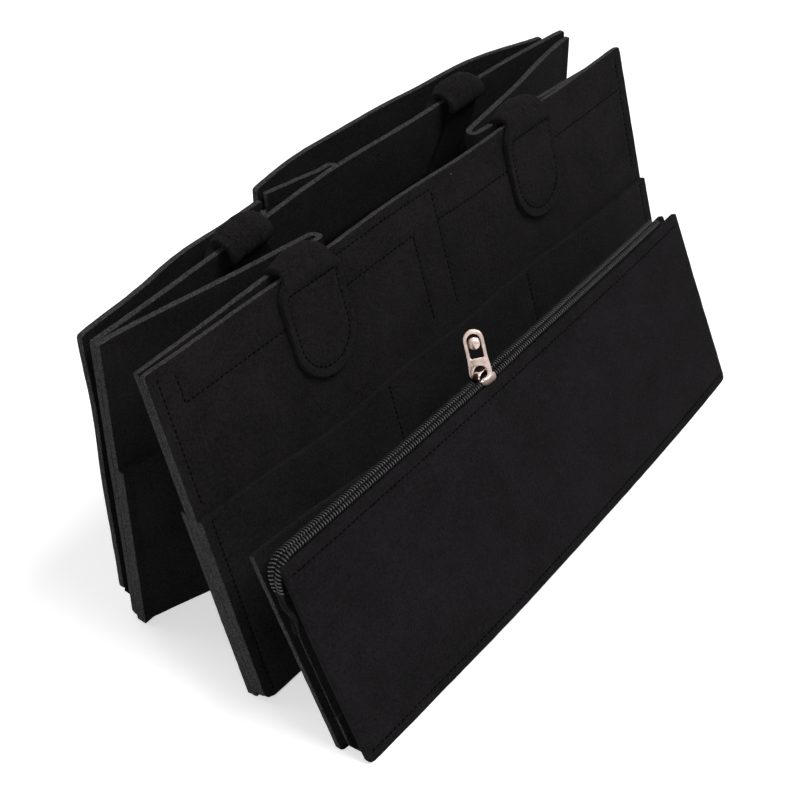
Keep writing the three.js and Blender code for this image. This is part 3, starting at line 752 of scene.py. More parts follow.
SEAM = 7
SIDE_LAYERS = (
    {"part": "side", "n": 4.85, "back": 0, "radius": 3.0, "edges": ALL_CUT,
     "cad": (["gusset_front_half"], ["rear_seam", "gusset_rear_half"], ["gusset_fold"])},
    {"part": "side_pocket", "n": 7.98, "back": 17, "radius": 2.0, "edges": TOP_PLAIN,
     "cad": (["side_pocket_front_half"], ["side_pocket_rear_half"], [])},
)


def seam_line(z, n, at_front):
    if at_front:
        return n / math.cos(FRONT_LEAN) + z * math.tan(FRONT_LEAN)
    return SPREAD - n / math.cos(REAR_LEAN) - z * math.tan(REAR_LEAN)


def side_point(t, z, shear, spec):
    """t runs 0 to 1 along the front flange and half, 1 to 2 round the bend, 2 to 3 back to the rear."""
    radius = spec["radius"]
    fx, fy = FOLD[0] + shear / 2 - spec["back"], FOLD[1]
    out = np.zeros((*t.shape, 3))
    out[..., 2] = z
    for at_front in (True, False):
        m = (t <= 1) if at_front else (t >= 2)
        d = t[m] if at_front else 3 - t[m]
        y0 = seam_line(z[m], spec["n"], at_front)
        x0 = SEAM + (0 if at_front else shear)
        sign = -1 if at_front else 1
        reach = np.hypot(fx - x0, fy + sign * radius - y0)
        ax, ay = (fx - x0) / reach, (fy + sign * radius - y0) / reach
        run = d * (SEAM + reach) - SEAM
        soft = 5.0
        bend = soft * 0.4 * (ease((run + soft) / (2 * soft)) - np.clip((run + soft) / (2 * soft), 0, 1))
        out[..., 0][m] = np.where(run < 0, x0 + run, x0 + ax * run)
        out[..., 1][m] = np.where(run < 0, y0, y0 + ay * run) + ay * bend
    m = (t > 1) & (t < 2)
    angle = (t[m] - 1.5) * math.pi
    out[..., 0][m] = fx + radius * np.cos(angle)
    out[..., 1][m] = fy + radius * np.sin(angle)
    return out


def side_top(t, pocket_layer):
    if pocket_layer:
        return 106 - 0.8 * np.exp(-(((t - 1.5) / 0.6) ** 2))
    return 179.4 + 1.6 * np.clip(t, 0, 1) + 0.4 * ease(t - 2)


def side_lines():
    """Grid lines along the folded side, closer at the flange and round the bend."""
    half = [0.004, 0.009, 0.02, 0.035, 0.05, 0.058, 0.07, 0.085, 0.1, 0.13]
    half += [*np.linspace(0.15, 0.9, 20), 0.93, 0.945, 0.96, 0.975, 0.99, *np.linspace(1.01, 1.5, 10)]
    return np.array(half + [3 - t for t in reversed(half[:-1])])


def side_surface(shear, spec, seed, flip):
    """A side felt's layer; on the right its rear seam follows the rear wall backward."""
    field = ripple(seed, 120)
    pocket_layer = spec["back"] > 0

    def surface(t, v):
        t, v = np.broadcast_arrays(3 - t if flip else t, v)
        z = 0.6 + (side_top(t, pocket_layer) - 0.6) * v + 0.3 * field(t * 110, 0 * t) * v
        p = side_point(t, z, shear, spec)
        run = np.clip(np.minimum(t, 3 - t), 0, 1)
        swell = 0.7 * np.sin(np.pi * run) ** 2 * field(t * 110, v * 150 + 40)
        p[..., 1] += swell * ((t < 1) * 1.0 - (t > 2))
        if flip:
            p[..., 1] += RIGHT_BACK * ease((t - 1.8) / 1.2) * np.clip(z / PANEL_HEIGHT, 0, 1)
            p[..., 0] = WIDTH - p[..., 0]
        return p

    return surface


# The bend is its own piece from this far along a half
SPLIT = 0.93
FLANGE_END = 0.055


def build_side(name, shear):
    flip = name == "right"
    rows = np.array([0.003, 0.007, *np.linspace(0.03, 0.97, 28), 0.993, 0.997])
    start = FLANGE_END if flip else -1

    def at(x, y):
        return metres((WIDTH - x if flip else x, y, 90))

    def near(t):
        return 3 - t if flip else t

    chosen = {
        "front": lambda t: (near(t) >= start) & (near(t) < SPLIT),
        "rear": lambda t: near(t) > 3 - SPLIT,
        "bend": lambda t: (near(t) >= SPLIT) & (near(t) <= 3 - SPLIT),
    }
    for k, spec in enumerate(SIDE_LAYERS):
        used = side_surface(shear, spec, 40 + 2 * k + flip, flip)
        sheet = felt_sheet(
            used, side_lines(), rows, FELT + 0.2, chamfer=0.3, edges=spec["edges"], grain=0.05, seed=44
        )
        stem = f"{name}_{spec['part']}"
        first, last, fold = (emit(f"{stem}_{part}", sheet, FELT_SET, pick) for part, pick in chosen.items())
        for piece, cad in zip((first, last, fold), spec["cad"]):
            dress(piece, "felt", *(f"{name}_{part}" for part in cad))
        if flip:
            flange = emit(f"{stem}_flange", sheet, FELT_SET, lambda t: near(t) < start)
            dress(flange, "felt", *([] if k else [f"{name}_front_seam"]))
            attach(flange, "front")
            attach(first, f"{name}_front")
        else:
            if not k:
                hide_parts(f"{name}_front_seam")
            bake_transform(first)
        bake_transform(last)
        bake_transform(fold)


build_side("left", SHEAR)
build_side("right", -SHEAR)

# The handles: a sewn tab, the puffed roll over the wall's edge, a strap leg and the grip

# Where the strap's inner face runs (n, s): up the wall, over its top edge and just inside
TAB_INSIDE = [
    (-0.3, 126), (-0.3, 140), (-0.3, 155), (-0.3, 166), (-0.35, 172), (-0.4, 177), (-0.4, 181),
    (-0.1, 183.3), (1.0, 184.1), (2.6, 184.1), (4.4, 183.8),
]
TAB_ENDS = {
    "front": [(5.8, 183.4), (6.7, 182.0), (6.9, 179.0)],
    "rear": [(6.6, 183.3), (7.7, 181.8), (7.9, 178.5)],
}
TAB_THICK = [3, 3, 3, 3.1, 3.6, 5.0, 7.2, 8.2, 8.4, 8.4, 8.0, 7.0, 5.2, 3.0]
TAB_HALF = 21
ROLL_HALF = 14.6
SEWN = 17
SEWN_TOP = 49
STRAP_HALF = 11.6
ROUNDED = [(0.5, 0.93), (0.85, 0.75), (1.0, 0.42), (1.0, 0.12)]
ROUNDED += [(reach, -level) for reach, level in reversed(ROUNDED)]


def tab_shape(name):
    """The strap's inner line in a wall's (n, s), its outward direction and its thickness, by length."""
    inside = np.array(TAB_INSIDE + TAB_ENDS[name], float)
    run = np.gradient(inside, axis=0)
    run /= np.hypot(run[:, 0], run[:, 1])[:, None]
    out = np.stack([-run[:, 1], run[:, 0]], -1)
    return lengths(inside), inside, out, np.array(TAB_THICK, float)


def arc(cx, cy, r, a0, a1, count=16):
    angles = np.radians(np.linspace(a0, a1, count))
    return [(cx + r * math.cos(a), cy + r * math.sin(a)) for a in angles]


def build_handle(name, wall, bend, centres, middle, outer, seed):
    places, inside, out, thick = tab_shape(name)
    length = places[-1]
    curves = [lambda l, c=c: smooth(places, c, l) for c in (*inside.T, *out.T, thick)]

    def thickness(w, l):
        t = curves[4](l)
        puff = np.clip((t - 3.4) / 4, 0, 1)
        return t - puff * (t - 4.2) * np.abs(w / TAB_HALF) ** 2.6

    ends = (-SEWN, SEWN_TOP), (SEWN, SEWN_TOP)
    u_line = [ends[0], *arc(0, 22, SEWN, 180, 360, 26), ends[1]]
    for side, toward, centre in zip(("left", "right"), (1, -1), centres):
        folds = ripple(seed + int(centre), 17)

        def surface(w, l, centre=centre, folds=folds):
            t = thickness(w, l)
            half = TAB_HALF - (TAB_HALF - ROLL_HALF) * ease((l - 47) / 12)
            crown = np.clip((l - 48) / 10, 0, 1)
            crease = crown * (0.38 * folds(w, l) + 0.16 * folds(w * 2.3 + 40, l * 1.7))
            n = curves[0](l) + curves[2](l) * (t / 2 + crease)
            s = curves[1](l) + curves[3](l) * (t / 2 + crease)
            x = centre + w * half / TAB_HALF
            return wall(x, n + bend(x, s), s + arch(centre, name) * np.clip(s / PANEL_HEIGHT, 0, 1))

        shape = felt_sheet(
            surface,
            lines(MARGIN - TAB_HALF, TAB_HALF - MARGIN, 1.4, fine=(0.5,)),
            lines(MARGIN, length - MARGIN, 1.3, (SEWN_TOP,), fine=(0.6, 1.2)),
            thickness,
            [(outer, u_line), (outer, ends)],
            {(0, 0): TAB_HALF - MARGIN, (1, 0): TAB_HALF - MARGIN},
            rim=ROUNDED, edges=PLAIN, belly=1.9, groove=0.9, grain=0.07, seed=seed + int(centre), thread=0.46,
        )
        sewn(f"{name}_{side}_tab_felt", shape, FELT_SET, f"{name}_{side}_handle_tab", name)
        grip_end = middle - toward * 46

        def leg_surface(w, v, centre=centre, grip_end=grip_end):
            x = centre + (grip_end - centre) * ease(v) + w
            s = 182.2 + (116.3 - 182.2) * v
            return wall(x, 5.8 + 2.2 * v + 0.7 * np.sin(np.pi * v) + bend(centre, s), s)

        across, down = lines(-STRAP_HALF, STRAP_HALF, 3), np.linspace(0.004, 1, 26)
        leg = felt_sheet(leg_surface, across, down, 2.6, chamfer=0.4, edges=PLAIN, seed=seed)
        strap = emit(f"{name}_{side}_strap_felt", leg, SHADED_LINING_SET)
        dress(strap, "felt", f"{name}_handle_{side}_leg")
        top, low = np.ravel(wall(centre, 6, 181)), np.ravel(wall(grip_end, 8, 106.9))
        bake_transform(strap)

    def grip_surface(u, v):
        return wall(middle + u, 8.0 + bend(middle, 105), 91.4 + v)

    rows = [[(-50, y), (50, y)] for y in (4, 19.5)]
    grip = felt_sheet(
        grip_surface,
        lines(-57.6, 57.6, 3),
        lines(0, 23.2, 2.4, (4, 19.5)),
        4.2,
        [(side, row) for side in (1, -1) for row in rows],
        {(0, 0): 11, (1, 0): 11}, chamfer=0.6, edges=PLAIN, seed=seed,
    )
    sewn(f"{name}_grip_felt", grip, SHADED_LINING_SET, f"{name}_handle_grip", f"{name}_grip")


build_handle("front", front, front_bend, (104, 283), 193.5, 1, 60)
build_handle("rear", rear, rear_bend, (100.5, 279.5), 190, -1, 70)

# The rear outside pockets


def pocket_depth(spec, u, v):
    bulge = spec["bulge"] * np.sin(np.pi * np.clip(u, 0, 1)) * (0.4 + 0.6 * v)
    return spec["start"] + (spec["end"] - spec["start"]) * u + bulge


def hairpin(x0, toward, fold, depth):
    """Plan of a felt strip folded once between a rear pocket's panel and the wall."""
    inner, outer = 1.8, depth - 3.0
    tip = x0 + toward * fold
    middle = (inner + outer) / 2
    radius = min(2.2, (outer - inner) / 2)
    points = [(x0, outer), (tip - toward * 10, middle + radius + 0.25)]
    points += [(tip - toward * (2 - dx), middle + dy) for dx, dy in arc(0, 0, radius, 90, -90, 9)]
    points += [(tip - toward * 10, middle - radius - 0.25), (x0, inner)]
    return np.array(points)


def build_rear_pocket(name, x0, width, spec, left_fold, right_fold, seed):
    field, top_field = ripple(seed, 90), ripple(seed + 1, 75, 4)

    def face(u, v):
        t = v / 166
        s = 12 + v + 1.0 * top_field(u, 0 * u) * t
        d = pocket_depth(spec, u / width, t) + 1.5 + 0.9 * field(u, v) * np.clip(t, 0.2, 1)
        return rear(x0 + u, rear_bend(x0 + u, s) - d, s)

    panel = felt_sheet(
        face,
        lines(MARGIN, width - MARGIN, 5, (5, width - 5)),
        lines(MARGIN, 166 - MARGIN, 5, (5,)),
        FELT, [(-1, box_path(5, 5, width - 5, 160))], corners(3, 1.5, 1.5), grain=0.08, seed=seed,
    )
    sewn(f"{name}_face", panel, FELT_SET, f"{name}_panel", name)

    def floor_face(u, v):
        d = 0.4 + (pocket_depth(spec, u / width, 0) - 0.8) * v
        return rear(x0 + u, rear_bend(x0 + u, 13) - d, 13 + 0 * u)

    us, vs = lines(MARGIN, width - MARGIN, 8), np.linspace(0.03, 0.97, 5)
    strip = felt_sheet(floor_face, us, vs, 1.8, chamfer=0.3, edges=PLAIN, seed=seed + 2)
    sewn(f"{name}_floor", strip, SHADED_LINING_SET, f"{name}_bottom", "rear")
    for side, toward, fold, end in (("left", 1, left_fold, "start"), ("right", -1, right_fold, "end")):
        depth = spec[end]
        base = x0 + FELT if toward > 0 else x0 + width - FELT
        plan = hairpin(base, toward, fold, depth)
        places = lengths(plan)
        thick = min(3.0, (depth - 4.8) * 0.48)

        def strip_face(t, v, plan=plan, places=places):
            x = smooth(places, plan[:, 0], t)
            return rear(x, rear_bend(x, v) - smooth(places, plan[:, 1], t), v + 0 * t)

        ts = lines(0.4, places[-1] - 0.4, 4, (places[-1] / 2,), fine=(1, 2, 3, 4, 6))
        strip = felt_sheet(strip_face, ts, lines(15.4, 174.6, 8), thick, chamfer=0.4, seed=seed + 3)
        piece = dress(emit(f"{name}_{side}_end", strip, FELT_SET), "felt", f"{name}_{side}_gusset")
        tip = base + toward * fold
        crease = (depth - 1.2) / 2
        slope = (rear_bend(tip, 0.0) - rear_bend(tip, 180.0)) / 180
        back = rear_bend(tip, 90.0)
        ends = [(back - crease - way * 0.9, 90 - way * 0.9 * slope) for way in (-1, 1)]
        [metres(np.ravel(rear(tip, n, s))) for n, s in ends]
        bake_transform(piece)


build_rear_pocket("rear_left_pocket", 3, 135, {"start": 8, "end": 16, "bulge": 4}, 33, 13, 80)
build_rear_pocket("rear_right_pocket", 144, 234, {"start": 25, "end": 11, "bulge": 9}, 44, 44, 90)

# The folding base: each half stands at BASE_SLOPE and narrows from its hinge to NARROW_AT

BASE_SLOPE = math.radians(73)
NARROW_AT = 102
for name, at_front in (("front", True), ("rear", False)):
    sign = 1 if at_front else -1
    lean = FRONT_LEAN if at_front else REAR_LEAN
    inside = (4.8 + 1.8 * math.sin(lean)) / math.cos(lean)
    y0 = inside if at_front else SPREAD - inside
    shift = 0 if at_front else SHEAR

    def base_surface(u, v, sign=sign, y0=y0, shift=shift):
        half = 166 - 110 * np.clip(v / NARROW_AT, 0, 1)
        x = WIDTH / 2 + shift + u * (half - MARGIN)
        y = y0 + sign * v * math.cos(BASE_SLOPE) + 0 * u
        return np.stack([x, y, 1.8 + v * math.sin(BASE_SLOPE) + 0 * u], -1)

    us = np.array([-1, -0.995, *np.linspace(-0.96, 0.96, 30), 0.995, 1])
    vs = lines(MARGIN, 126.9, 6, (NARROW_AT,), fine=(1,))
    sheet = felt_sheet(base_surface, us, vs, chamfer=0.4, seed=100)
    sewn(f"base_{name}_felt", sheet, FELT_SET, f"base_{name}_half", f"base_{name}")

# The pouch

TOP_BOW = 2.8
FOOT_BOW = 5.5
pouch_wave = ripple(21, 160)


def bow(u):
    """The pouch's lengthwise bow toward the viewer, none at its ends."""
    return np.sin(np.pi * np.clip(u / POUCH_WIDTH, 0, 1)) ** 0.75


def pouch_at(u, n, s, loose=1.0):
    u, n, s = np.broadcast_arrays(u, n, s)
    t = np.clip(s / POUCH_HEIGHT, 0, 1)
    return pouch(u, n - (TOP_BOW * t + FOOT_BOW * (1 - t) * loose) * bow(u), s)


def pouch_face(u, s):
    loose = np.clip((POUCH_HEIGHT - s) / 30, 0, 1)
    return pouch_at(u, 1.5 + 0.35 * pouch_wave(u, s) * loose, s * 110.9 / POUCH_HEIGHT)


def gape(u):
    """How far the pouch's back stands open at its left end."""
    return 7.5 * (1 - ease(u / 120))


def pouch_back(u, s):
    higher = 1 + 0.052 * (1 - ease(u / 140))
    return pouch_at(u, 10.5 + gape(u), s * 110 / POUCH_HEIGHT * higher, 0.55)


for name, surface, outer, seed in (("face", pouch_face, 1, 22), ("back", pouch_back, -1, 23)):
    sheet = felt_sheet(
        surface,
        lines(MARGIN, POUCH_WIDTH - MARGIN, 4.5, (5, POUCH_WIDTH - 5)),
        lines(MARGIN, POUCH_HEIGHT - MARGIN, 4.5, (5, 105.5)),
        FELT, [(outer, [(4, s), (POUCH_WIDTH - 4, s)]) for s in (105.5, 5)], corners(3, 1, 1),
        edges=(CUT, CUT, FACE, FACE if outer > 0 else CUT), grain=0.07, seed=seed,
    )
    cad = "pouch_front_panel" if name == "face" else "pouch_rear_panel"
    sewn(f"pouch_{name}_felt", sheet, SHADED_POUCH_SET, cad, "pouch")

# The trough along the pouch's bottom: up the front wall, across and up the rear wall
trough_plan = np.array([
    (4.3, 22), (4.3, 14), (4.3, 6), (4.6, 3.6), (5.4, 3.0), (6.4, 3.2), (7.4, 4.0), (7.7, 6), (7.7, 14),
    (7.7, 22),
])
trough_steps = lengths(trough_plan)


def trough(u, t):
    n = smooth(trough_steps, trough_plan[:, 0], t)
    n = n + gape(u) * ease((n - 4.3) / 3.4)
    return pouch_at(u, n, smooth(trough_steps, trough_plan[:, 1], t), 0.78)


half = trough_steps[-1] / 2
rows = lines(0.3, 2 * half - 0.3, 3, (half,), fine=(1, 2, 3, 4))
strip = felt_sheet(trough, lines(4.3, POUCH_WIDTH - 4.3, 6), rows, 1.9, chamfer=0.3, seed=24)
sewn("pouch_trough_felt", strip, SHADED_POUCH_SET, "pouch_bottom_strip", "pouch")

END_PLAN = ((0, 3.9), (6, 4.6), (12.2, 5.4), (13.2, 6.0), (12.2, 6.6), (6, 7.4), (0, 8.1))
for name, base, toward in (("left", 4, 1), ("right", POUCH_WIDTH - 4, -1)):
    plan = np.array([(base + toward * a, b) for a, b in END_PLAN])
    places = lengths(plan)

    def end_face(t, s, plan=plan, places=places):
        u, n = smooth(places, plan[:, 0], t), smooth(places, plan[:, 1], t)
        return pouch_at(u, n + gape(u) * ease((n - 3.9) / 4.2), s, 0.78)

    ts = lines(0.3, places[-1] - 0.3, 2.5)
    end = felt_sheet(end_face, ts, lines(22.6, 90.6, 6), 1.0, chamfer=0.25, seed=25)
    sewn(f"pouch_{name}_end", end, SHADED_POUCH_SET, f"pouch_{name}_gusset", "pouch")

# The zip: two rows of coil on woven tape, curving down over the pouch's left end

ZIP_MIDDLE = 6.0
ZIP_FLOOR = 110.5
ZIP_RIGHT = 338.0
TURN_RADIUS = 12.0
TURN_AT = ZIP_RIGHT - 10.0
ZIP_LENGTH = TURN_AT + TURN_RADIUS * math.pi / 2 + 3


def zip_path(d):
    """Place (u, s) of the zip's middle line and its run, d from the right end leftward and then down."""
    d = np.asarray(d, float)
    angle = np.clip((d - TURN_AT) / TURN_RADIUS, 0, math.pi / 2)
    past = np.maximum(d - TURN_AT - TURN_RADIUS * math.pi / 2, 0)
    u = ZIP_RIGHT - np.minimum(d, TURN_AT) - TURN_RADIUS * np.sin(angle)
    s = ZIP_FLOOR + 2.2 - TURN_RADIUS * (1 - np.cos(angle)) - past
    return u, s, np.stack([-np.cos(angle), -np.sin(angle)], -1)


PITCH = 1.7
ROW_OFFSET = 2.7
ROW_HALF = 2.2
TAPE_THICKNESS = 0.7


def narrowing(d):
    """The coil's breadth along it: 1, and less where it ends under the tail."""
    return 1 - 0.5 * ease((d - TURN_AT - 4) / (ZIP_LENGTH - TURN_AT - 4))


def row_middle(d, side):
    """A row's place across the zip: the rows part to the right of the slider."""
    past = ZIP_RIGHT - d - SLIDER_AT
    parted = 0.7 * ease((past - 1) / 7) * (1 - ease((past - 18) / 14))
    return ZIP_MIDDLE + side * (ROW_OFFSET * narrowing(d) + parted)


for name, side in (("front", -1), ("rear", 1)):
    shape = Shape()
    t = np.arange(int(ZIP_LENGTH / PITCH) * 10 + 1) / 10
    d = t * PITCH
    u, s, run = zip_path(d)
    angle = 2 * math.pi * t + (math.pi if side < 0 else 0)
    lift = 1.45 * narrowing(d) * np.sin(angle)
    skew = 0.42 * np.cos(angle) * side
    n = row_middle(d, side) + ROW_HALF * narrowing(d) * np.cos(angle)
    ring = pouch_at(u + run[:, 1] * lift + run[:, 0] * skew, n, s - run[:, 0] * lift + run[:, 1] * skew)
    tube(shape, ring, 0.42)
    d = np.linspace(2, ZIP_LENGTH - 2, 180)
    u, s, run = zip_path(d)
    for across in (-0.8, 0.8):
        tube(shape, pouch_at(u, row_middle(d, side) + across * narrowing(d), s), 1.0 * narrowing(d), 1)
    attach(dress(emit(f"zip_{name}_row", shape, (nylon, tape)), "nylon", f"zip_{name}_coil"), "pouch")

    def tape_face(d, w, side=side):
        """w runs from the coil out over the wall's edge and down inside it."""
        u, s, run = zip_path(d)
        n = ZIP_MIDDLE + side * np.minimum(0.6 + w, 2.4)
        drop = np.maximum(w - 1.4, 0)
        return pouch_at(u - run[..., 1] * drop * 0.9, n, s - 2.2 - drop * np.abs(run[..., 0]))

    ds = [0.3, 0.8, *np.linspace(4, TURN_AT - 2, 90), *np.linspace(TURN_AT, ZIP_LENGTH - 12, 8)]
    ws = np.array([0.1, 0.5, 1.0, 1.4, 1.8, 3, 5, 8, 12, 15.6, 16])
    shape = felt_sheet(tape_face, np.array(ds), ws, TAPE_THICKNESS, chamfer=0.12, seed=26)
    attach(dress(emit(f"zip_{name}_ribbon", shape, TAPE_SET), "zip_tape", f"zip_{name}_tape"), "pouch")


def tail_face(w, t):
    """The loose end of the tape, hanging crumpled over the pouch's left end."""
    crumple = 0.9 * np.sin(t * 0.42 + 0.6) + 0.5 * np.sin(w * 1.1 + t * 0.35)
    u = -2.6 + 0.09 * t + crumple * np.clip(t / 12, 0, 1) * 0.9
    return pouch_at(u, ZIP_MIDDLE + 0.7 * w * (1 - 0.12 * np.sin(t * 0.3)) + 0.04 * t, 101 - t)


us, vs = lines(-3.2, 3.2, 0.7, edge=0.3), lines(0.2, 25, 1.1, edge=0.3)
tail = felt_sheet(tail_face, us, vs, TAPE_THICKNESS, chamfer=0.12, seed=27)
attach(dress(emit("zip_tail_ribbon", tail, TAPE_SET), "zip_tape", "zip_tail"), "pouch")

# The slider and its pull tab


def lump_quads(rings, count):
    """Quads of a closed lump made of rings: its sides and a cap at each end."""
    i = np.arange(count // 2 - 1)
    cap = np.stack([i, i + 1, count - 2 - i, count - 1 - i], -1)
    return np.concatenate([ring_quads(rings, count), cap[:, ::-1], cap + (rings - 1) * count])


def pebble(shape, place, outline, levels):
    """A closed lump from one outline: levels give its (scale, height) from its bottom to its top."""
    centre = np.mean(outline, axis=0)
    rings = [np.c_[centre + (outline - centre) * k, np.full(len(outline), h)] for k, h in levels]
    shape.add(place(np.concatenate(rings)), lump_quads(len(levels), len(outline)), 0)


SLIDER_SIDE = -2.0


def slider_place(p):
    return pouch_at(SLIDER_AT - 1.5 + p[..., 0], ZIP_MIDDLE + SLIDER_SIDE + p[..., 1], p[..., 2])


def signed_power(x, power):
    return np.sign(x) * np.abs(x) ** power


def oval(a, b, power, taper=0.0, count=40):
    """An outline between an oval and a box, narrower at its -x end by taper."""
    t = (np.arange(count) + 0.5) * 2 * math.pi / count
    x = a * signed_power(np.cos(t), power)
    return np.stack([x, b * signed_power(np.sin(t), power) * (1 + taper * x / a)], -1)


shape = Shape()
base = ZIP_FLOOR + 0.7
top = ZIP_FLOOR + 4.2
levels = [(0.88, 0), (0.97, 0.4), (1, 1.2), (1, 2.6), (0.97, 3.4), (0.88, 4.0)]
levels += [(0.68, 4.4), (0.4, 4.6), (0.12, 4.65)]
pebble(shape, slider_place, oval(5.8, 4.9, 0.72, 0.12), [(k, base + h) for k, h in levels])

# The crown that holds the pull tab: a flat bar bent over the slider, by (x, height)
CROWN = np.array([
    (-5.9, 0.5), (-5.7, 1.5), (-5.0, 2.5), (-3.8, 3.2), (-1.8, 3.5), (0.4, 3.4), (2.4, 2.9), (3.8, 2.2),
    (4.7, 1.4), (5.2, 0.5),
])
bars = []
t = (np.arange(16) + 0.5) * math.pi / 8
wide = 2.3 * signed_power(np.cos(t), 0.6)
deep = 0.52 * signed_power(np.sin(t), 0.7)
for (x, z), (dx, dz) in zip(CROWN, unit(np.gradient(CROWN, axis=0))):
    bars.append(np.stack([x - dz * deep, wide, top + z + dx * deep], -1))
shape.add(slider_place(np.concatenate(bars)), lump_quads(len(CROWN), 16), 0)
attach(dress(emit("zip_slider_body", shape, (nickel_body_painted_shade,)), "rose_nickel", "zip_slider"), "slider")

PULL_TURN = math.radians(25)
PULL_FLOOR = ZIP_FLOOR + 4.4
PULL_TILT = math.radians(10)
PULL_SHIFT = (-3.0, -2.0)


def pull_place(p):
    """From the tab's own axes (across, up, through) to the shared frame."""
    c, k = math.cos(PULL_TURN), math.sin(PULL_TURN)
    w, v, through = p[..., 0], p[..., 1], p[..., 2]
    tilt = math.sin(PULL_TILT) * v
    height = PULL_FLOOR + math.cos(PULL_TILT) * v
    u = SLIDER_AT + PULL_SHIFT[0] - w * k + through * c + tilt
    return pouch_at(u, ZIP_MIDDLE + PULL_SHIFT[1] + w * c + through * k, height)


def outline_of(half_low, half_top, low, top, corner, count=72):
    """A closed outline with rounded lower corners, straight or tapering sides and an arched top."""
    right = [(0, low), *arc(half_low - corner, low + corner, corner, -90, 0, 8)]
    right += [(half_top, low + (top - low) * 0.42), *arc(0, top - half_top, half_top, 0, 90, 16)]
    points = np.array(right + [(-x, y) for x, y in reversed(right[1:-1])] + right[:1])
    return along(points, lengths(points)[-1] / count)[:count]


def plate(outlines, thickness, bevel):
    """Vertices and faces of a flat plate with rounded edges; outlines inside another are its holes."""
    curve = bpy.data.curves.new("plate", "CURVE")
    curve.dimensions = "2D"
    curve.fill_mode = "BOTH"
    curve.extrude = thickness / 2 - bevel
    curve.bevel_depth = bevel
    curve.bevel_resolution = 2
    curve.offset = -bevel
    for outline in outlines:
        spline = curve.splines.new("POLY")
        spline.points.add(len(outline) - 1)
        for point, (x, y) in zip(spline.points, outline):
            point.co = (x, y, 0, 1)
        spline.use_cyclic_u = True
    holder = linked("plate", curve)
    ready = holder.evaluated_get(bpy.context.evaluated_depsgraph_get())
    mesh = bpy.data.meshes.new_from_object(ready)
    bpy.data.objects.remove(holder)
    work = bmesh.new()
    work.from_mesh(mesh)
    bmesh.ops.remove_doubles(work, verts=work.verts, dist=0.001)
    bmesh.ops.recalc_face_normals(work, faces=work.faces)
    work.to_mesh(mesh)
    work.free()
    return mesh


PLATE_THICKNESS = 1.3
mesh = plate(
    [
        outline_of(6.0, 5.4, -0.6, 25.2, 3.2),
        outline_of(3.3, 3.3, 0.6, 6.2, 1.2),
        outline_of(3.6, 3.6, 10.2, 22.8, 0.9),
    ],
    PLATE_THICKNESS,
    0.35,
)
# Painted shade: the pull tab's edge faces get the darker nickel
painted_shade_rim_faces = [abs(face.normal.z) < 0.9 for face in mesh.polygons]
mesh.polygons.foreach_set("material_index", np.array(painted_shade_rim_faces, np.int32))
points = np.array([tuple(v.co) for v in mesh.vertices])
mesh.vertices.foreach_set("co", ((pull_place(points) + ORIGIN) / 1000).ravel())
mesh.materials.clear()
mesh.materials.append(nickel)
mesh.materials.append(nickel_rim_painted_shade)
mesh.polygons.foreach_set("use_smooth", np.ones(len(mesh.polygons), bool))
mesh.set_sharp_from_angle(angle=math.radians(40))
pull = linked("zip_pull_plate", mesh)
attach(dress(pull, "rose_nickel", "zip_pull_tab"), "pull_tab")
shape = Shape()
disc = [(0.9, -0.5), (1, -0.3), (1, 0.3), (0.9, 0.5), (0.5, 0.62), (0.15, 0.65)]
pebble(shape, pull_place, oval(3.2, 3.2, 1) + (0, 17.8), disc)
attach(dress(emit("zip_pull_disc", shape, (nickel,)), "rose_nickel"), "pull_tab")

# The camera: the photograph's place, turn and lens, found by fitting the object's corners

YAW, PITCH_DOWN, ROLL = (math.radians(a) for a in (48.157, 36.330, -5.264))
CAMERA_AT = (-321.51, -395.06, 543.35)
LENS = 67.523

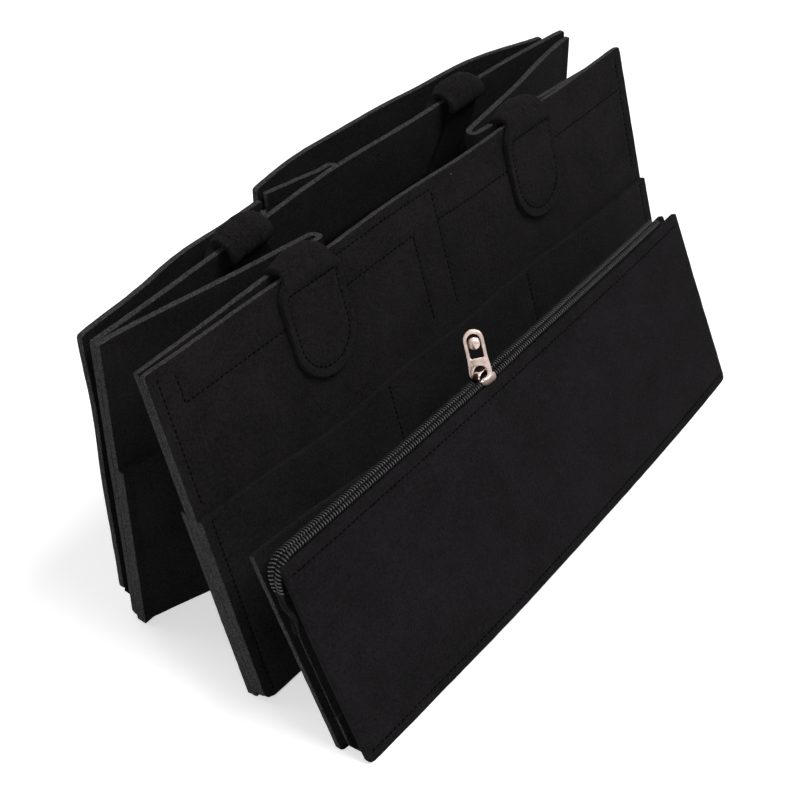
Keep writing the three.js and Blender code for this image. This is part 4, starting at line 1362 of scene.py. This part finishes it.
forward = np.array(
    [math.sin(YAW) * math.cos(PITCH_DOWN), math.cos(YAW) * math.cos(PITCH_DOWN), -math.sin(PITCH_DOWN)]
)
right = np.array([math.cos(YAW), -math.sin(YAW), 0])
up = np.cross(right, forward)
right, up = math.cos(ROLL) * right + math.sin(ROLL) * up, math.cos(ROLL) * up - math.sin(ROLL) * right
camera_data = bpy.data.cameras.new("camera")
camera_data.lens = LENS
camera_data.sensor_width = 36
camera_data.clip_start = 0.05
camera_data.clip_end = 20
camera = linked("camera", camera_data)
columns = np.column_stack([right, up, -forward, metres(CAMERA_AT)])
camera.matrix_world = Matrix([*columns.tolist(), (0, 0, 0, 1)])
bpy.context.scene.camera = camera

# Floor, lamps and world


def shown_white(tree):
    """1 for what the camera sees directly or through a reflection, otherwise 0."""
    rays = node(tree, "LightPath").outputs
    seen = calc(tree, "MAXIMUM", rays["Is Camera Ray"], rays["Is Glossy Ray"])
    return calc(tree, "MAXIMUM", seen, rays["Is Transmission Ray"])


FLOOR_SIZE = 4
mesh = bpy.data.meshes.new("floor")
square = [(-1, -1), (1, -1), (1, 1), (-1, 1)]
mesh.from_pydata([(x * FLOOR_SIZE, y * FLOOR_SIZE, 0) for x, y in square], [], [(0, 1, 2, 3)])
floor = linked("floor", mesh)
material, tree, shader = new_material("floor_white")
set_inputs(shader, Base_Color=(0.8, 0.8, 0.8, 1), Roughness=0.9, Specular_IOR_Level=0.1)
shown = calc(tree, "MULTIPLY", shown_white(tree), 0.45)
set_inputs(shader, Emission_Color=(1, 1, 1, 1), Emission_Strength=shown)
floor.data.materials.append(material)


def area_lamp(name, at, aim, size, power):
    data = bpy.data.lights.new(name, "AREA")
    data.shape = "RECTANGLE"
    data.size, data.size_y = size
    data.energy = power
    lamp = linked(name, data)
    lamp.location = at
    lamp.rotation_euler = (Vector(aim) - Vector(at)).to_track_quat("-Z", "Y").to_euler()


area_lamp("key", (0.25, -0.85, 1.7), (0, 0, 0.08), (0.9, 0.7), 30)
area_lamp("fill", (-1.3, -0.5, 0.9), (0, 0, 0.08), (0.8, 0.6), 9)
area_lamp("back", (-0.2, 1.0, 1.7), (0, 0, 0.1), (1.0, 0.6), 7)

world = bpy.data.worlds.new("studio")
bpy.context.scene.world = world
world.use_nodes = True
tree = world.node_tree
background = tree.nodes["Background"]
AMBIENT = 0.2
lit = calc(tree, "MULTIPLY", shown_white(tree), 1 - AMBIENT)
set_inputs(background, Color=(1, 1, 1, 1), Strength=calc(tree, "ADD", lit, AMBIENT))

view = bpy.context.scene.view_settings
view.view_transform = "Standard"
